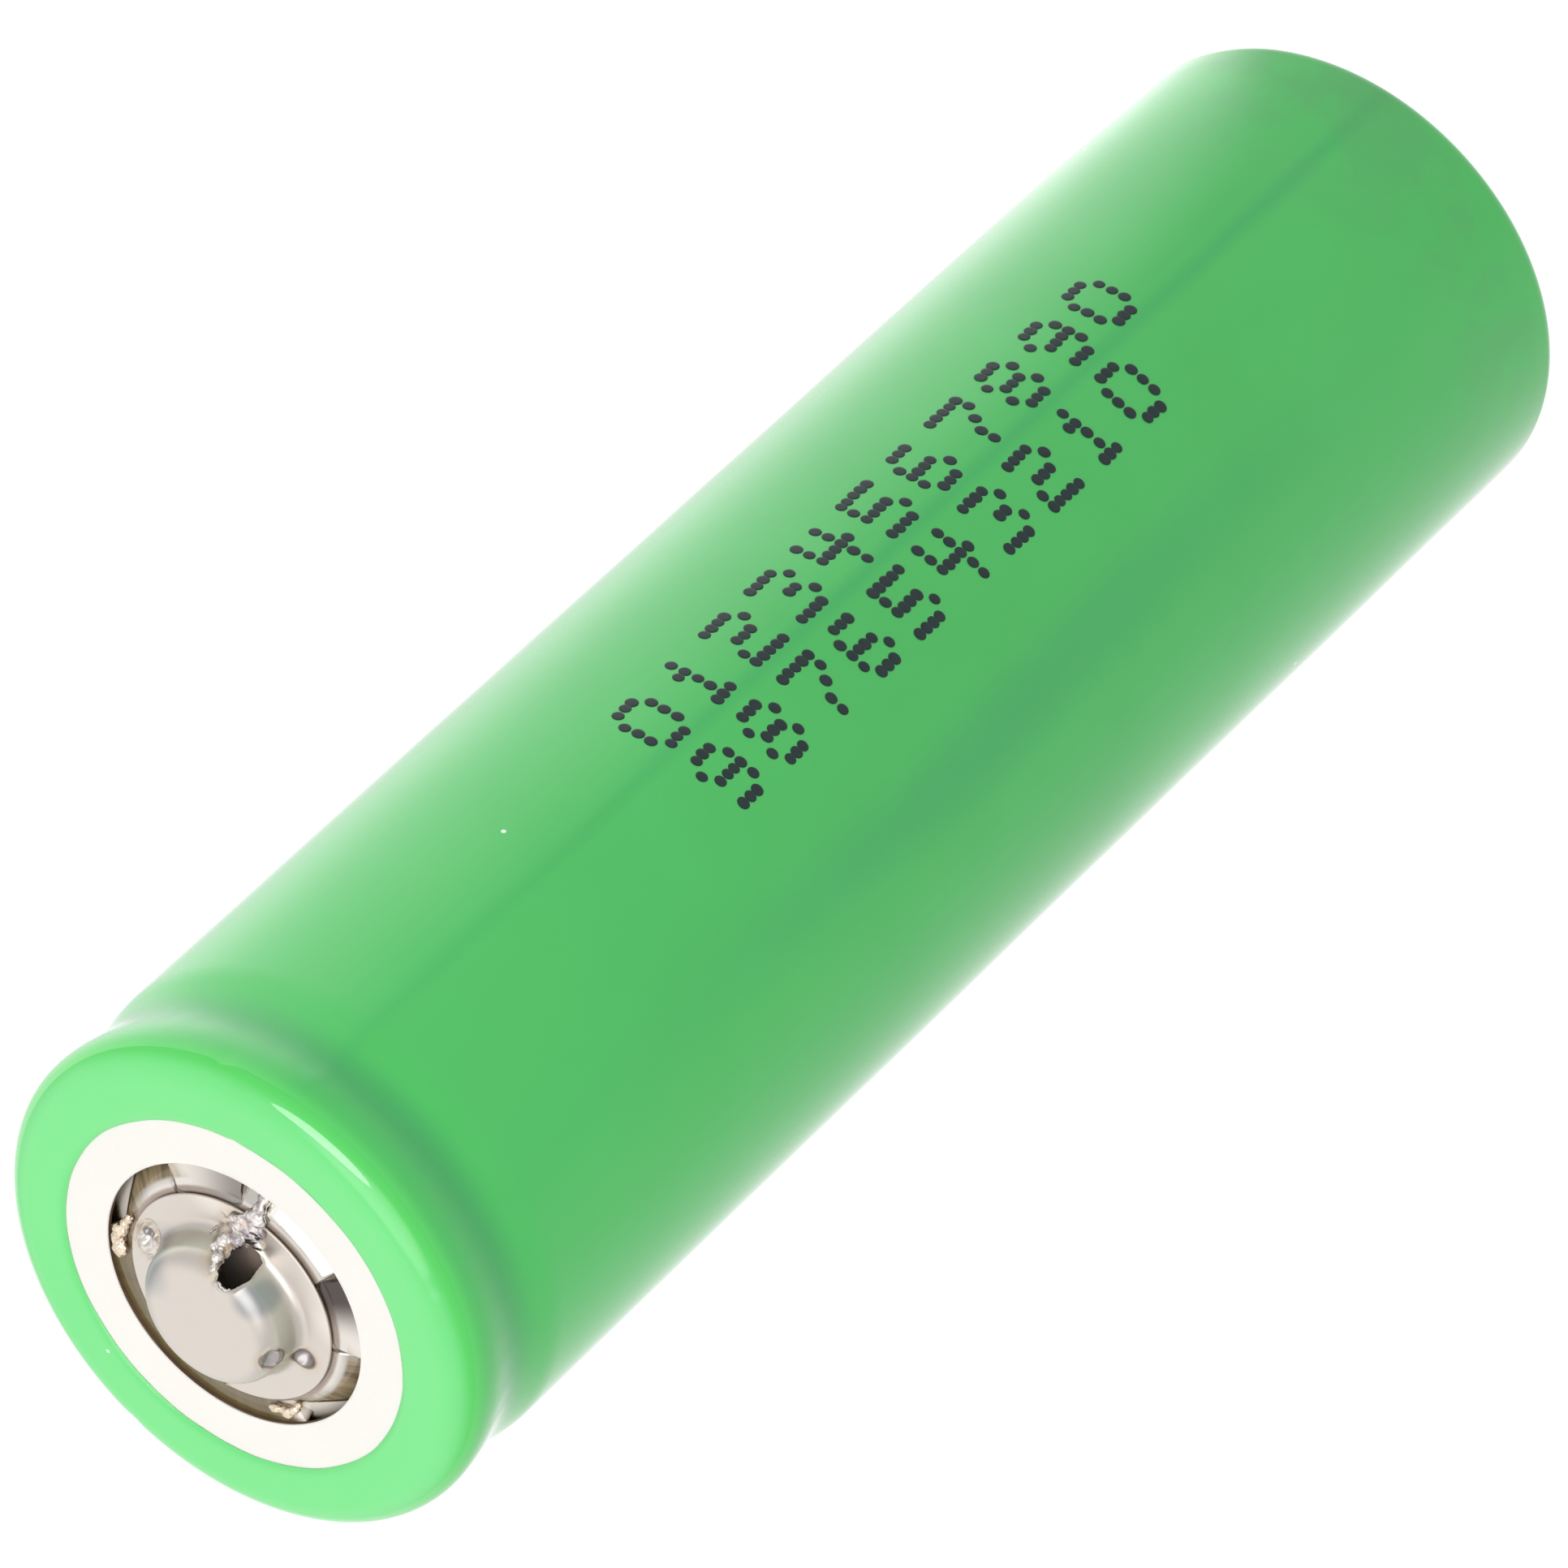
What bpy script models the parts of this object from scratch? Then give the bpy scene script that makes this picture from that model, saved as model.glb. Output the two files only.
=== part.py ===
"""A cylindrical lithium-ion cell, 18650 size, with a welded button on its positive end and a shrink sleeve.

The cell stands on its negative end. +Z runs from the base to the button, and the origin is the centre of the
base. Lengths are in metres. Turned parts share one facet count, so that thin layers lie parallel.
"""

import math

import bmesh
import bpy
from mathutils import Matrix

MM = 0.001

# Driving dimensions of the wrapped cell
BODY_HEIGHT = 65.2 * MM
SLEEVE_RADIUS = 9.15 * MM
SLEEVE_WALL = 0.13 * MM
RIM_RADIUS = 9.2 * MM
BUTTON_RISE = 1.55 * MM
LAYER_GAP = 0.02 * MM

# Sleeve folds and insulator ring
TOP_FOLD_RADIUS = 6.67 * MM
BASE_FOLD_RADIUS = 6.6 * MM
TOP_FILLET = 1.2 * MM
BASE_FILLET = 0.75 * MM
RING_THICKNESS = 0.22 * MM
RING_HOLE_RADIUS = 4.97 * MM
RING_RADIUS = 7.9 * MM

# Steel can and its bead groove
CAN_RADIUS = SLEEVE_RADIUS - SLEEVE_WALL - LAYER_GAP
CAN_WALL = 0.25 * MM
CAN_BASE_FILLET = 0.8 * MM
CAN_TOP_FILLET = 1.0 * MM
CAN_LIP_RADIUS = 6.1 * MM
BASE_DISC_RADIUS = 6.2 * MM
BASE_DISC_DROP = 0.1 * MM
GROOVE_HEIGHT = 62.0 * MM
GROOVE_ABOVE = 1.1 * MM
GROOVE_BELOW = 1.7 * MM
CAN_GROOVE_DEPTH = 1.0 * MM
SLEEVE_GROOVE_DEPTH = 0.5 * MM
GROOVE_SHARES = (1.0, 0.55, 0.0, -0.5, -1.0)

# Button and cap
BUTTON_WALL = 0.15 * MM
BUTTON_FLANGE_RADIUS = 3.93 * MM
BUTTON_TOP_RADIUS = 1.85 * MM
BUTTON_FILLET = 0.5 * MM
BUTTON_NECK_RADIUS = 2.55 * MM
BUTTON_FOOT_RADIUS = 2.85 * MM
BUTTON_FOOT_HEIGHT = 0.3 * MM
BURN_HOLE_AZIMUTH = math.radians(280)
BURN_HOLE_RISE = 0.1 * MM
BURN_HOLE_WIDTH = 0.9 * MM
BURN_HOLE_HEIGHT = 1.2 * MM
BURN_HOLE_DEPTH = 1.6 * MM
CAP_WALL = 0.3 * MM
CAP_DISC_RADIUS = 4.2 * MM
CAP_SLOPE_RADIUS = 5.4 * MM
WINDOW_AZIMUTHS = (48, 138, 228, 318)
WINDOW_RADIUS = 4.85 * MM
WINDOW_WIDTH = 2.9 * MM
WINDOW_DEPTH = 0.8 * MM

# Melted steel: azimuth in degrees, radius, rise above the flange, and radii outwards, sideways and upwards
WELD_BEADS = {
    "weld_bead_front": (287, 3.75 * MM, 0.0, (1.0 * MM, 0.45 * MM, 0.42 * MM)),
    "weld_spatter_right": (28, 4.42 * MM, -0.12 * MM, (0.36 * MM, 0.4 * MM, 0.26 * MM)),
    "weld_spatter_left": (152, 4.42 * MM, -0.12 * MM, (0.36 * MM, 0.4 * MM, 0.26 * MM)),
}
WELD_CLEARANCE = 0.1 * MM

# Gasket and the stack that it holds
STACK_RADIUS = 8.15 * MM
STACK_GAP = 0.05 * MM
GASKET_RADIUS = 8.7 * MM
GASKET_LIP = 0.35 * MM
GASKET_FLOOR = 0.3 * MM
GASKET_BORE_RADIUS = 6.9 * MM
GASKET_TOP_CHAMFER = 0.65 * MM
GASKET_FLOOR_CHAMFER = 0.42 * MM
GASKET_LIP_RADIUS = CAN_LIP_RADIUS - 0.2 * MM
PTC_THICKNESS = 0.3 * MM
PTC_BORE_RADIUS = 5.6 * MM
VENT_WALL = 0.3 * MM
VENT_DISH = 0.56 * MM
VENT_DISH_RADIUS = 6.0 * MM
VENT_RIM_RADIUS = 6.6 * MM
VENT_BOSS = 0.4 * MM
VENT_BOSS_RADIUS = 1.5 * MM
VENT_BOSS_FOOT_RADIUS = 2.3 * MM
CID_WEB = 0.33 * MM
CID_BORE_RADIUS = 4.6 * MM
CID_RADIUS = 6.5 * MM
CONTACT_PLATE_RADIUS = 6.0 * MM
CONTACT_PLATE_THICKNESS = 0.3 * MM
CONTACT_HOLE_RADIUS = 0.7 * MM
CONTACT_HOLE_CIRCLE = 3.4 * MM
CONTACT_HOLE_AZIMUTHS = (45, 135, 225, 315)

# Winding: a separator, the cathode, a separator and the anode, wound together on the core
CORE_RADIUS = 1.75 * MM
WINDING_RADIUS = 8.5 * MM
TURNS = 7
STEPS_PER_TURN = 20
ELECTRODE_THICKNESS = 0.27 * MM
SEPARATOR_THICKNESS = 0.08 * MM
SEPARATOR_HEIGHT = 58.2 * MM
ANODE_HEIGHT = 56.4 * MM
CATHODE_HEIGHT = 54.4 * MM
ROLL_BASE = 1.05 * MM
TAPE_THICKNESS = 0.06 * MM
TAPE_RADIUS = WINDING_RADIUS + 0.08 * MM
TAPE_HEIGHT = 46.0 * MM
TAPE_ANGLE = math.radians(120)
PIN_RADIUS = 1.5 * MM
PIN_WALL = 0.2 * MM
PIN_HEIGHT = SEPARATOR_HEIGHT - 1.0 * MM
PIN_SLIT_ANGLE = math.radians(30)

# Insulator discs and tabs
INSULATOR_RADIUS = 8.5 * MM
TOP_INSULATOR_HEIGHT = 59.6 * MM
TOP_INSULATOR_THICKNESS = 0.3 * MM
BOTTOM_INSULATOR_HEIGHT = 0.7 * MM
BOTTOM_INSULATOR_THICKNESS = 0.2 * MM
INSULATOR_BORE_RADIUS = 1.3 * MM
INSULATOR_PORT_RADIUS = 0.8 * MM
INSULATOR_PORT_CIRCLE = 5.2 * MM
TOP_PORT_AZIMUTHS = (75, 150, 210, 285)
TAB_WIDTH = 4.0 * MM
TAB_SLOT_WIDTH = TAB_WIDTH + 0.4 * MM
TAB_SLOT_DEPTH = 0.6 * MM
CATHODE_TAB_THICKNESS = 0.15 * MM
CATHODE_TAB_RADIUS = 5.0 * MM
CATHODE_TAB_END = -1.5 * MM
CATHODE_TAB_BEND = 0.7 * MM
CATHODE_TAB_GAP = 0.1 * MM
TAB_TAPE_HEIGHT = 0.8 * MM
TAB_TAPE_RISE = 0.1 * MM
ANODE_TAB_THICKNESS = 0.1 * MM
ANODE_TAB_RADIUS = 6.0 * MM
ANODE_TAB_END = 1.0 * MM
ANODE_TAB_BEND = 0.2 * MM
ANODE_TAB_GAP = 0.05 * MM

SEGMENTS = 32
BUTTON_SEGMENTS = 24
CUTTER_LENGTH = 3.0 * MM

# Levels that follow from the stack, from the top down
BUTTON_TOP = BODY_HEIGHT + BUTTON_RISE
RING_TOP = BODY_HEIGHT - SLEEVE_WALL - LAYER_GAP
CAN_TOP = RING_TOP - RING_THICKNESS - LAYER_GAP
CAN_BASE = SLEEVE_WALL + LAYER_GAP
GASKET_TOP = CAN_TOP - CAN_WALL - 2 * LAYER_GAP
CAP_FLANGE_TOP = GASKET_TOP - GASKET_LIP - LAYER_GAP
CAP_TOP = BODY_HEIGHT - BUTTON_WALL - LAYER_GAP
PTC_TOP = CAP_FLANGE_TOP - CAP_WALL - LAYER_GAP
VENT_TOP = PTC_TOP - PTC_THICKNESS - LAYER_GAP
GASKET_FLOOR_TOP = VENT_TOP - VENT_WALL - LAYER_GAP
VENT_BOSS_BASE = VENT_TOP - VENT_DISH - VENT_BOSS - VENT_WALL
CONTACT_PLATE_TOP = VENT_BOSS_BASE - LAYER_GAP
CONTACT_PLATE_BASE = CONTACT_PLATE_TOP - CONTACT_PLATE_THICKNESS
ROLL_TOP = ROLL_BASE + SEPARATOR_HEIGHT
ROLL_MIDDLE = ROLL_BASE + SEPARATOR_HEIGHT / 2


def new_collection(name):
    collection = bpy.data.collections.new(name)
    bpy.context.scene.collection.children.link(collection)
    return collection


def make_material(name, colour, roughness, metallic):
    material = bpy.data.materials.new(name)
    material.use_nodes = True
    shader = material.node_tree.nodes["Principled BSDF"]
    shader.inputs["Base Color"].default_value = (*colour, 1.0)
    shader.inputs["Roughness"].default_value = roughness
    shader.inputs["Metallic"].default_value = metallic
    material.diffuse_color = (*colour, 1.0)
    return material


def add_object(name, data, material=None):
    """Links the object as a part, or as a hidden cutter where it has no material."""
    obj = bpy.data.objects.new(name, data)
    if material is None:
        cutters.objects.link(obj)
        obj.hide_render = True
        obj.display_type = "WIRE"
        return obj
    data.materials.append(material)
    parts.objects.link(obj)
    return obj


def arc(centre, radius, start, end, steps):
    """Points (radius, height) on a round corner, with both angles in degrees from the outward direction."""
    points = []
    for step in range(steps + 1):
        angle = math.radians(start + (end - start) * step / steps)
        points.append((centre[0] + radius * math.cos(angle), centre[1] + radius * math.sin(angle)))
    return points


def flat_ring(bore_radius, radius, height, thickness):
    """The outline of a flat ring whose upper face is at this height."""
    low = height - thickness
    return [(bore_radius, height), (radius, height), (radius, low), (bore_radius, low)]


def turned(name, profile, material=None, wall=0.0, ring=False, segments=SEGMENTS):
    """Turns a profile of (radius, height) points about Z. It runs down its outer side.

    With a wall, the profile is the outer surface, and the wall grows inwards. A ring joins its last point to
    its first.
    """
    mesh = bpy.data.meshes.new(name)
    vertices = [(radius, 0.0, height) for radius, height in profile]
    edges = [(i, i + 1) for i in range(len(profile) - 1)]
    if ring:
        edges.append((len(profile) - 1, 0))
    mesh.from_pydata(vertices, edges, [])
    obj = add_object(name, mesh, material)
    screw = obj.modifiers.new("Screw", "SCREW")
    screw.axis = "Z"
    screw.steps = segments
    screw.render_steps = segments
    screw.use_merge_vertices = True
    screw.merge_threshold = 1e-6
    screw.use_smooth_shade = True
    if wall:
        solidify = obj.modifiers.new("Solidify", "SOLIDIFY")
        solidify.thickness = wall
        solidify.offset = -1.0
        solidify.use_even_offset = True
    return obj


def ribbon(name, points, width, thickness, material, closed=False, rotation=None, location=(0, 0, 0)):
    """A strip of foil: a flat path drawn out to its width along the curve's Z, then given its thickness."""
    curve = bpy.data.curves.new(name, "CURVE")
    curve.dimensions = "2D"
    curve.fill_mode = "NONE"
    curve.extrude = width / 2
    spline = curve.splines.new("POLY")
    spline.points.add(len(points) - 1)
    for point, (x, y) in zip(spline.points, points):
        point.co = (x, y, 0.0, 1.0)
    spline.use_cyclic_u = closed
    obj = add_object(name, curve, material)
    obj.location = location
    if rotation:
        obj.rotation_euler = rotation
    solidify = obj.modifiers.new("Solidify", "SOLIDIFY")
    solidify.thickness = thickness
    solidify.offset = 0.0
    solidify.use_even_offset = True
    return obj


def box_cutter(name, size, radius, height, azimuth):
    """A box with its centre at this radius, height and azimuth, its X side along the radius."""
    mesh = bpy.data.meshes.new(name)
    shape = bmesh.new()
    bmesh.ops.create_cube(shape, size=1.0, matrix=Matrix.Diagonal((*size, 1.0)))
    shape.to_mesh(mesh)
    shape.free()
    obj = add_object(name, mesh)
    obj.location = (radius * math.cos(azimuth), radius * math.sin(azimuth), height)
    obj.rotation_euler = (0, 0, azimuth)
    return obj


def pin_cutter(name, pin_radius, radius, height, azimuth):
    """An upright cylinder with its centre at this radius, height and azimuth."""
    mesh = bpy.data.meshes.new(name)
    shape = bmesh.new()
    bmesh.ops.create_cone(
        shape, cap_ends=True, segments=10, radius1=pin_radius, radius2=pin_radius, depth=CUTTER_LENGTH
    )
    shape.to_mesh(mesh)
    shape.free()
    obj = add_object(name, mesh)
    obj.location = (radius * math.cos(azimuth), radius * math.sin(azimuth), height)
    return obj


def cut(obj, cutter):
    boolean = obj.modifiers.new("Cut " + cutter.name, "BOOLEAN")
    boolean.operation = "DIFFERENCE"
    boolean.solver = "EXACT"
    boolean.object = cutter


def groove_dip(height):
    """How deep the bead groove is at this height, from 0 at its edges to 1 at its bottom."""
    reach = GROOVE_ABOVE if height > GROOVE_HEIGHT else GROOVE_BELOW
    share = min(1.0, abs(height - GROOVE_HEIGHT) / reach)
    return 0.5 * (1.0 + math.cos(math.pi * share))


def groove_points(radius, depth):
    points = []
    for share in GROOVE_SHARES:
        height = GROOVE_HEIGHT + share * (GROOVE_ABOVE if share > 0 else GROOVE_BELOW)
        points.append((radius - depth * groove_dip(height), height))
    return points


def make_shrink_sleeve():
    profile = [(TOP_FOLD_RADIUS, BODY_HEIGHT)]
    profile += arc((RIM_RADIUS - TOP_FILLET, BODY_HEIGHT - TOP_FILLET), TOP_FILLET, 90, 0, 3)
    profile += groove_points(SLEEVE_RADIUS, SLEEVE_GROOVE_DEPTH)
    profile += arc((SLEEVE_RADIUS - BASE_FILLET, BASE_FILLET), BASE_FILLET, 0, -90, 2)
    profile.append((BASE_FOLD_RADIUS, 0.0))
    pvc = make_material("pvc_green", (0.16, 0.55, 0.2), 0.25, 0.0)
    turned("shrink_sleeve", profile, pvc, SLEEVE_WALL)


def make_insulator_ring():
    profile = flat_ring(RING_HOLE_RADIUS, RING_RADIUS, RING_TOP, RING_THICKNESS)
    paper = make_material("paper_cream", (0.93, 0.91, 0.86), 0.7, 0.0)
    turned("insulator_ring", profile, paper, ring=True)


def make_steel_can():
    profile = [(CAN_LIP_RADIUS, CAN_TOP)]
    profile += arc((CAN_RADIUS - CAN_TOP_FILLET, CAN_TOP - CAN_TOP_FILLET), CAN_TOP_FILLET, 90, 0, 3)
    profile += groove_points(CAN_RADIUS, CAN_GROOVE_DEPTH)
    base_corner = (CAN_RADIUS - CAN_BASE_FILLET, CAN_BASE + CAN_BASE_FILLET)
    profile += arc(base_corner, CAN_BASE_FILLET, 0, -90, 2)
    profile += [
        (BASE_DISC_RADIUS + BASE_DISC_DROP, CAN_BASE),
        (BASE_DISC_RADIUS, CAN_BASE - BASE_DISC_DROP),
        (0.0, CAN_BASE - BASE_DISC_DROP),
    ]
    steel = make_material("nickel_plated_steel", (0.62, 0.61, 0.59), 0.3, 1.0)
    turned("steel_can", profile, steel, CAN_WALL)


def make_button_terminal():
    profile = [(0.0, BUTTON_TOP)]
    profile += arc((BUTTON_TOP_RADIUS, BUTTON_TOP - BUTTON_FILLET), BUTTON_FILLET, 90, 0, 2)
    profile += [
        (BUTTON_NECK_RADIUS, BODY_HEIGHT + BUTTON_FOOT_HEIGHT),
        (BUTTON_FOOT_RADIUS, BODY_HEIGHT),
        (BUTTON_FLANGE_RADIUS, BODY_HEIGHT),
    ]
    nickel = make_material("button_nickel", (0.74, 0.71, 0.67), 0.28, 1.0)
    button = turned("button_terminal", profile, nickel, BUTTON_WALL, segments=BUTTON_SEGMENTS)
    size = (BURN_HOLE_DEPTH, BURN_HOLE_WIDTH, BURN_HOLE_HEIGHT)
    middle = BODY_HEIGHT + BURN_HOLE_RISE + BURN_HOLE_HEIGHT / 2
    cut(button, box_cutter("burn_hole_cutter", size, BUTTON_NECK_RADIUS, middle, BURN_HOLE_AZIMUTH))


def make_positive_cap():
    profile = [
        (0.0, CAP_TOP),
        (CAP_DISC_RADIUS, CAP_TOP),
        (CAP_SLOPE_RADIUS, CAP_FLANGE_TOP),
        (STACK_RADIUS, CAP_FLANGE_TOP),
    ]
    nickel = make_material("cap_nickel", (0.66, 0.64, 0.6), 0.25, 1.0)
    cap = turned("positive_cap", profile, nickel, CAP_WALL)
    middle = (CAP_TOP + CAP_FLANGE_TOP) / 2
    size = (WINDOW_DEPTH, WINDOW_WIDTH, CUTTER_LENGTH)
    for degrees in WINDOW_AZIMUTHS:
        window = box_cutter(f"window_cutter_{degrees}", size, WINDOW_RADIUS, middle, math.radians(degrees))
        cut(cap, window)


def make_weld_beads():
    """Melted steel on the button's flange and on the cap, cut to lie on both."""
    flange_top = BODY_HEIGHT + LAYER_GAP
    cap_top = CAP_TOP + LAYER_GAP
    below = CAP_TOP - CUTTER_LENGTH
    profile = [
        (0.0, BUTTON_TOP),
        (BUTTON_NECK_RADIUS + WELD_CLEARANCE, BUTTON_TOP),
        (BUTTON_NECK_RADIUS + WELD_CLEARANCE, BODY_HEIGHT + BUTTON_FOOT_HEIGHT),
        (BUTTON_FOOT_RADIUS + WELD_CLEARANCE, flange_top),
        (BUTTON_FLANGE_RADIUS + LAYER_GAP, flange_top),
        (BUTTON_FLANGE_RADIUS + LAYER_GAP, cap_top),
        (STACK_RADIUS, cap_top),
        (STACK_RADIUS, below),
        (0.0, below),
    ]
    seat = turned("weld_seat_cutter", profile)
    steel = make_material("melted_steel", (0.72, 0.66, 0.58), 0.35, 1.0)
    for name, (degrees, radius, rise, radii) in WELD_BEADS.items():
        azimuth = math.radians(degrees)
        mesh = bpy.data.meshes.new(name)
        shape = bmesh.new()
        matrix = Matrix.Diagonal((*radii, 1.0))
        bmesh.ops.create_uvsphere(shape, u_segments=12, v_segments=8, radius=1.0, matrix=matrix)
        shape.to_mesh(mesh)
        shape.free()
        mesh.shade_smooth()
        bead = add_object(name, mesh, steel)
        bead.location = (radius * math.cos(azimuth), radius * math.sin(azimuth), BODY_HEIGHT + rise)
        bead.rotation_euler = (0, 0, azimuth)
        cut(bead, seat)


def make_sealing_gasket():
    """A plastic cup round the edge of the cap stack, its lip folded in over the cap."""
    bore = STACK_RADIUS + STACK_GAP
    floor_base = GASKET_FLOOR_TOP - GASKET_FLOOR
    profile = [
        (GASKET_LIP_RADIUS, GASKET_TOP),
        (GASKET_RADIUS - GASKET_TOP_CHAMFER, GASKET_TOP),
        (GASKET_RADIUS, GASKET_TOP - GASKET_TOP_CHAMFER),
        (GASKET_RADIUS, floor_base + GASKET_FLOOR_CHAMFER),
        (GASKET_RADIUS - GASKET_FLOOR_CHAMFER, floor_base),
        (GASKET_BORE_RADIUS, floor_base),
        (GASKET_BORE_RADIUS, GASKET_FLOOR_TOP),
        (bore, GASKET_FLOOR_TOP),
        (bore, CAP_FLANGE_TOP + LAYER_GAP),
        (GASKET_LIP_RADIUS, CAP_FLANGE_TOP + LAYER_GAP),
    ]
    plastic = make_material("gasket_pp", (0.82, 0.82, 0.8), 0.5, 0.0)
    turned("sealing_gasket", profile, plastic, ring=True)


def make_ptc_ring():
    profile = flat_ring(PTC_BORE_RADIUS, STACK_RADIUS, PTC_TOP, PTC_THICKNESS)
    polymer = make_material("ptc_polymer", (0.1, 0.1, 0.11), 0.5, 0.0)
    turned("ptc_ring", profile, polymer, ring=True)


def make_vent_disc():
    """The burst disc, dished down, with a boss that is welded to the contact plate below it."""
    dish = VENT_TOP - VENT_DISH
    profile = [
        (0.0, dish - VENT_BOSS),
        (VENT_BOSS_RADIUS, dish - VENT_BOSS),
        (VENT_BOSS_FOOT_RADIUS, dish),
        (VENT_DISH_RADIUS, dish),
        (VENT_RIM_RADIUS, VENT_TOP),
        (STACK_RADIUS, VENT_TOP),
    ]
    aluminium = make_material("vent_aluminium", (0.78, 0.79, 0.8), 0.35, 1.0)
    turned("vent_disc", profile, aluminium, VENT_WALL)


def make_cid_insulator():
    """A web between the vent disc and the contact plate, and a skirt round the plate."""
    top = VENT_TOP - VENT_DISH - VENT_WALL - 2 * LAYER_GAP
    web_base = top - CID_WEB
    bore = CONTACT_PLATE_RADIUS + STACK_GAP
    profile = [
        (CID_BORE_RADIUS, top),
        (CID_RADIUS, top),
        (CID_RADIUS, CONTACT_PLATE_BASE),
        (bore, CONTACT_PLATE_BASE),
        (bore, web_base),
        (CID_BORE_RADIUS, web_base),
    ]
    plastic = make_material("cid_pp", (0.2, 0.35, 0.6), 0.5, 0.0)
    turned("cid_insulator", profile, plastic, ring=True)


def make_cid_contact_plate():
    profile = [
        (0.0, CONTACT_PLATE_TOP),
        (CONTACT_PLATE_RADIUS, CONTACT_PLATE_TOP),
        (CONTACT_PLATE_RADIUS, CONTACT_PLATE_BASE),
        (0.0, CONTACT_PLATE_BASE),
    ]
    aluminium = make_material("plate_aluminium", (0.8, 0.8, 0.81), 0.3, 1.0)
    plate = turned("cid_contact_plate", profile, aluminium)
    for degrees in CONTACT_HOLE_AZIMUTHS:
        hole = (CONTACT_HOLE_RADIUS, CONTACT_HOLE_CIRCLE, CONTACT_PLATE_BASE, math.radians(degrees))
        cut(plate, pin_cutter(f"plate_hole_cutter_{degrees}", *hole))


def make_insulator_disc(name, base, thickness, slot_radius, slot_azimuth, port_azimuths, material):
    """A disc with a centre hole, a slot for a tab, and round ports where the azimuths say."""
    profile = flat_ring(INSULATOR_BORE_RADIUS, INSULATOR_RADIUS, base + thickness, thickness)
    disc = turned(name, profile, material, ring=True)
    size = (TAB_SLOT_DEPTH, TAB_SLOT_WIDTH, CUTTER_LENGTH)
    cut(disc, box_cutter(name + "_slot_cutter", size, slot_radius, base, slot_azimuth))
    for degrees in port_azimuths:
        port = (INSULATOR_PORT_RADIUS, INSULATOR_PORT_CIRCLE, base, math.radians(degrees))
        cut(disc, pin_cutter(f"{name}_port_cutter_{degrees}", *port))


def make_insulator_discs():
    film = make_material("insulator_film", (0.85, 0.86, 0.84), 0.5, 0.0)
    make_insulator_disc(
        "top_insulator",
        TOP_INSULATOR_HEIGHT,
        TOP_INSULATOR_THICKNESS,
        CATHODE_TAB_RADIUS,
        0.0,
        TOP_PORT_AZIMUTHS,
        film,
    )
    make_insulator_disc(
        "bottom_insulator",
        BOTTOM_INSULATOR_HEIGHT,
        BOTTOM_INSULATOR_THICKNESS,
        ANODE_TAB_RADIUS,
        math.pi,
        (),
        film,
    )


def spiral(offset, pitch):
    """Points on a strip's middle line, which starts this far outside the core."""
    points = []
    for step in range(TURNS * STEPS_PER_TURN + 1):
        turn = step / STEPS_PER_TURN
        radius = CORE_RADIUS + offset + pitch * turn
        angle = 2 * math.pi * turn
        points.append((radius * math.cos(angle), radius * math.sin(angle)))
    return points


def make_winding():
    """Four strips wound side by side. The real roll has about twenty turns of thinner strips."""
    layers = [
        ("separator_inner", SEPARATOR_THICKNESS, SEPARATOR_HEIGHT, (0.9, 0.9, 0.88), 0.6, 0.0),
        ("cathode_strip", ELECTRODE_THICKNESS, CATHODE_HEIGHT, (0.08, 0.08, 0.09), 0.7, 0.2),
        ("separator_outer", SEPARATOR_THICKNESS, SEPARATOR_HEIGHT, (0.88, 0.88, 0.86), 0.6, 0.0),
        ("anode_strip", ELECTRODE_THICKNESS, ANODE_HEIGHT, (0.5, 0.26, 0.14), 0.5, 0.6),
    ]
    stack = sum(layer[1] for layer in layers)
    gaps_outside = (len(layers) - 1) / len(layers)
    room = WINDING_RADIUS - CORE_RADIUS - stack * (1 - gaps_outside)
    pitch = room / (TURNS + gaps_outside)
    gap = (pitch - stack) / len(layers)
    offset = 0.0
    for name, thickness, height, colour, roughness, metallic in layers:
        path = spiral(offset + thickness / 2, pitch)
        offset += thickness + gap
        material = make_material(name + "_film", colour, roughness, metallic)
        ribbon(name, path, height, thickness, material, location=(0, 0, ROLL_MIDDLE))


def arc_path(radius, start, end, steps):
    angles = [start + (end - start) * step / steps for step in range(steps + 1)]
    return [(radius * math.cos(angle), radius * math.sin(angle)) for angle in angles]


def make_winding_tape():
    path = arc_path(TAPE_RADIUS, -TAPE_ANGLE / 2, TAPE_ANGLE / 2, 12)
    tape = make_material("tape_green", (0.1, 0.45, 0.3), 0.3, 0.0)
    ribbon("winding_tape", path, TAPE_HEIGHT, TAPE_THICKNESS, tape, location=(0, 0, ROLL_MIDDLE))


def make_center_pin():
    """A tube rolled from sheet steel, left open along a slit."""
    path = arc_path(PIN_RADIUS - PIN_WALL / 2, PIN_SLIT_ANGLE / 2, 2 * math.pi - PIN_SLIT_ANGLE / 2, 14)
    steel = make_material("pin_steel", (0.6, 0.6, 0.6), 0.35, 1.0)
    ribbon("center_pin", path, PIN_HEIGHT, PIN_WALL, steel, location=(0, 0, ROLL_MIDDLE))


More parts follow.
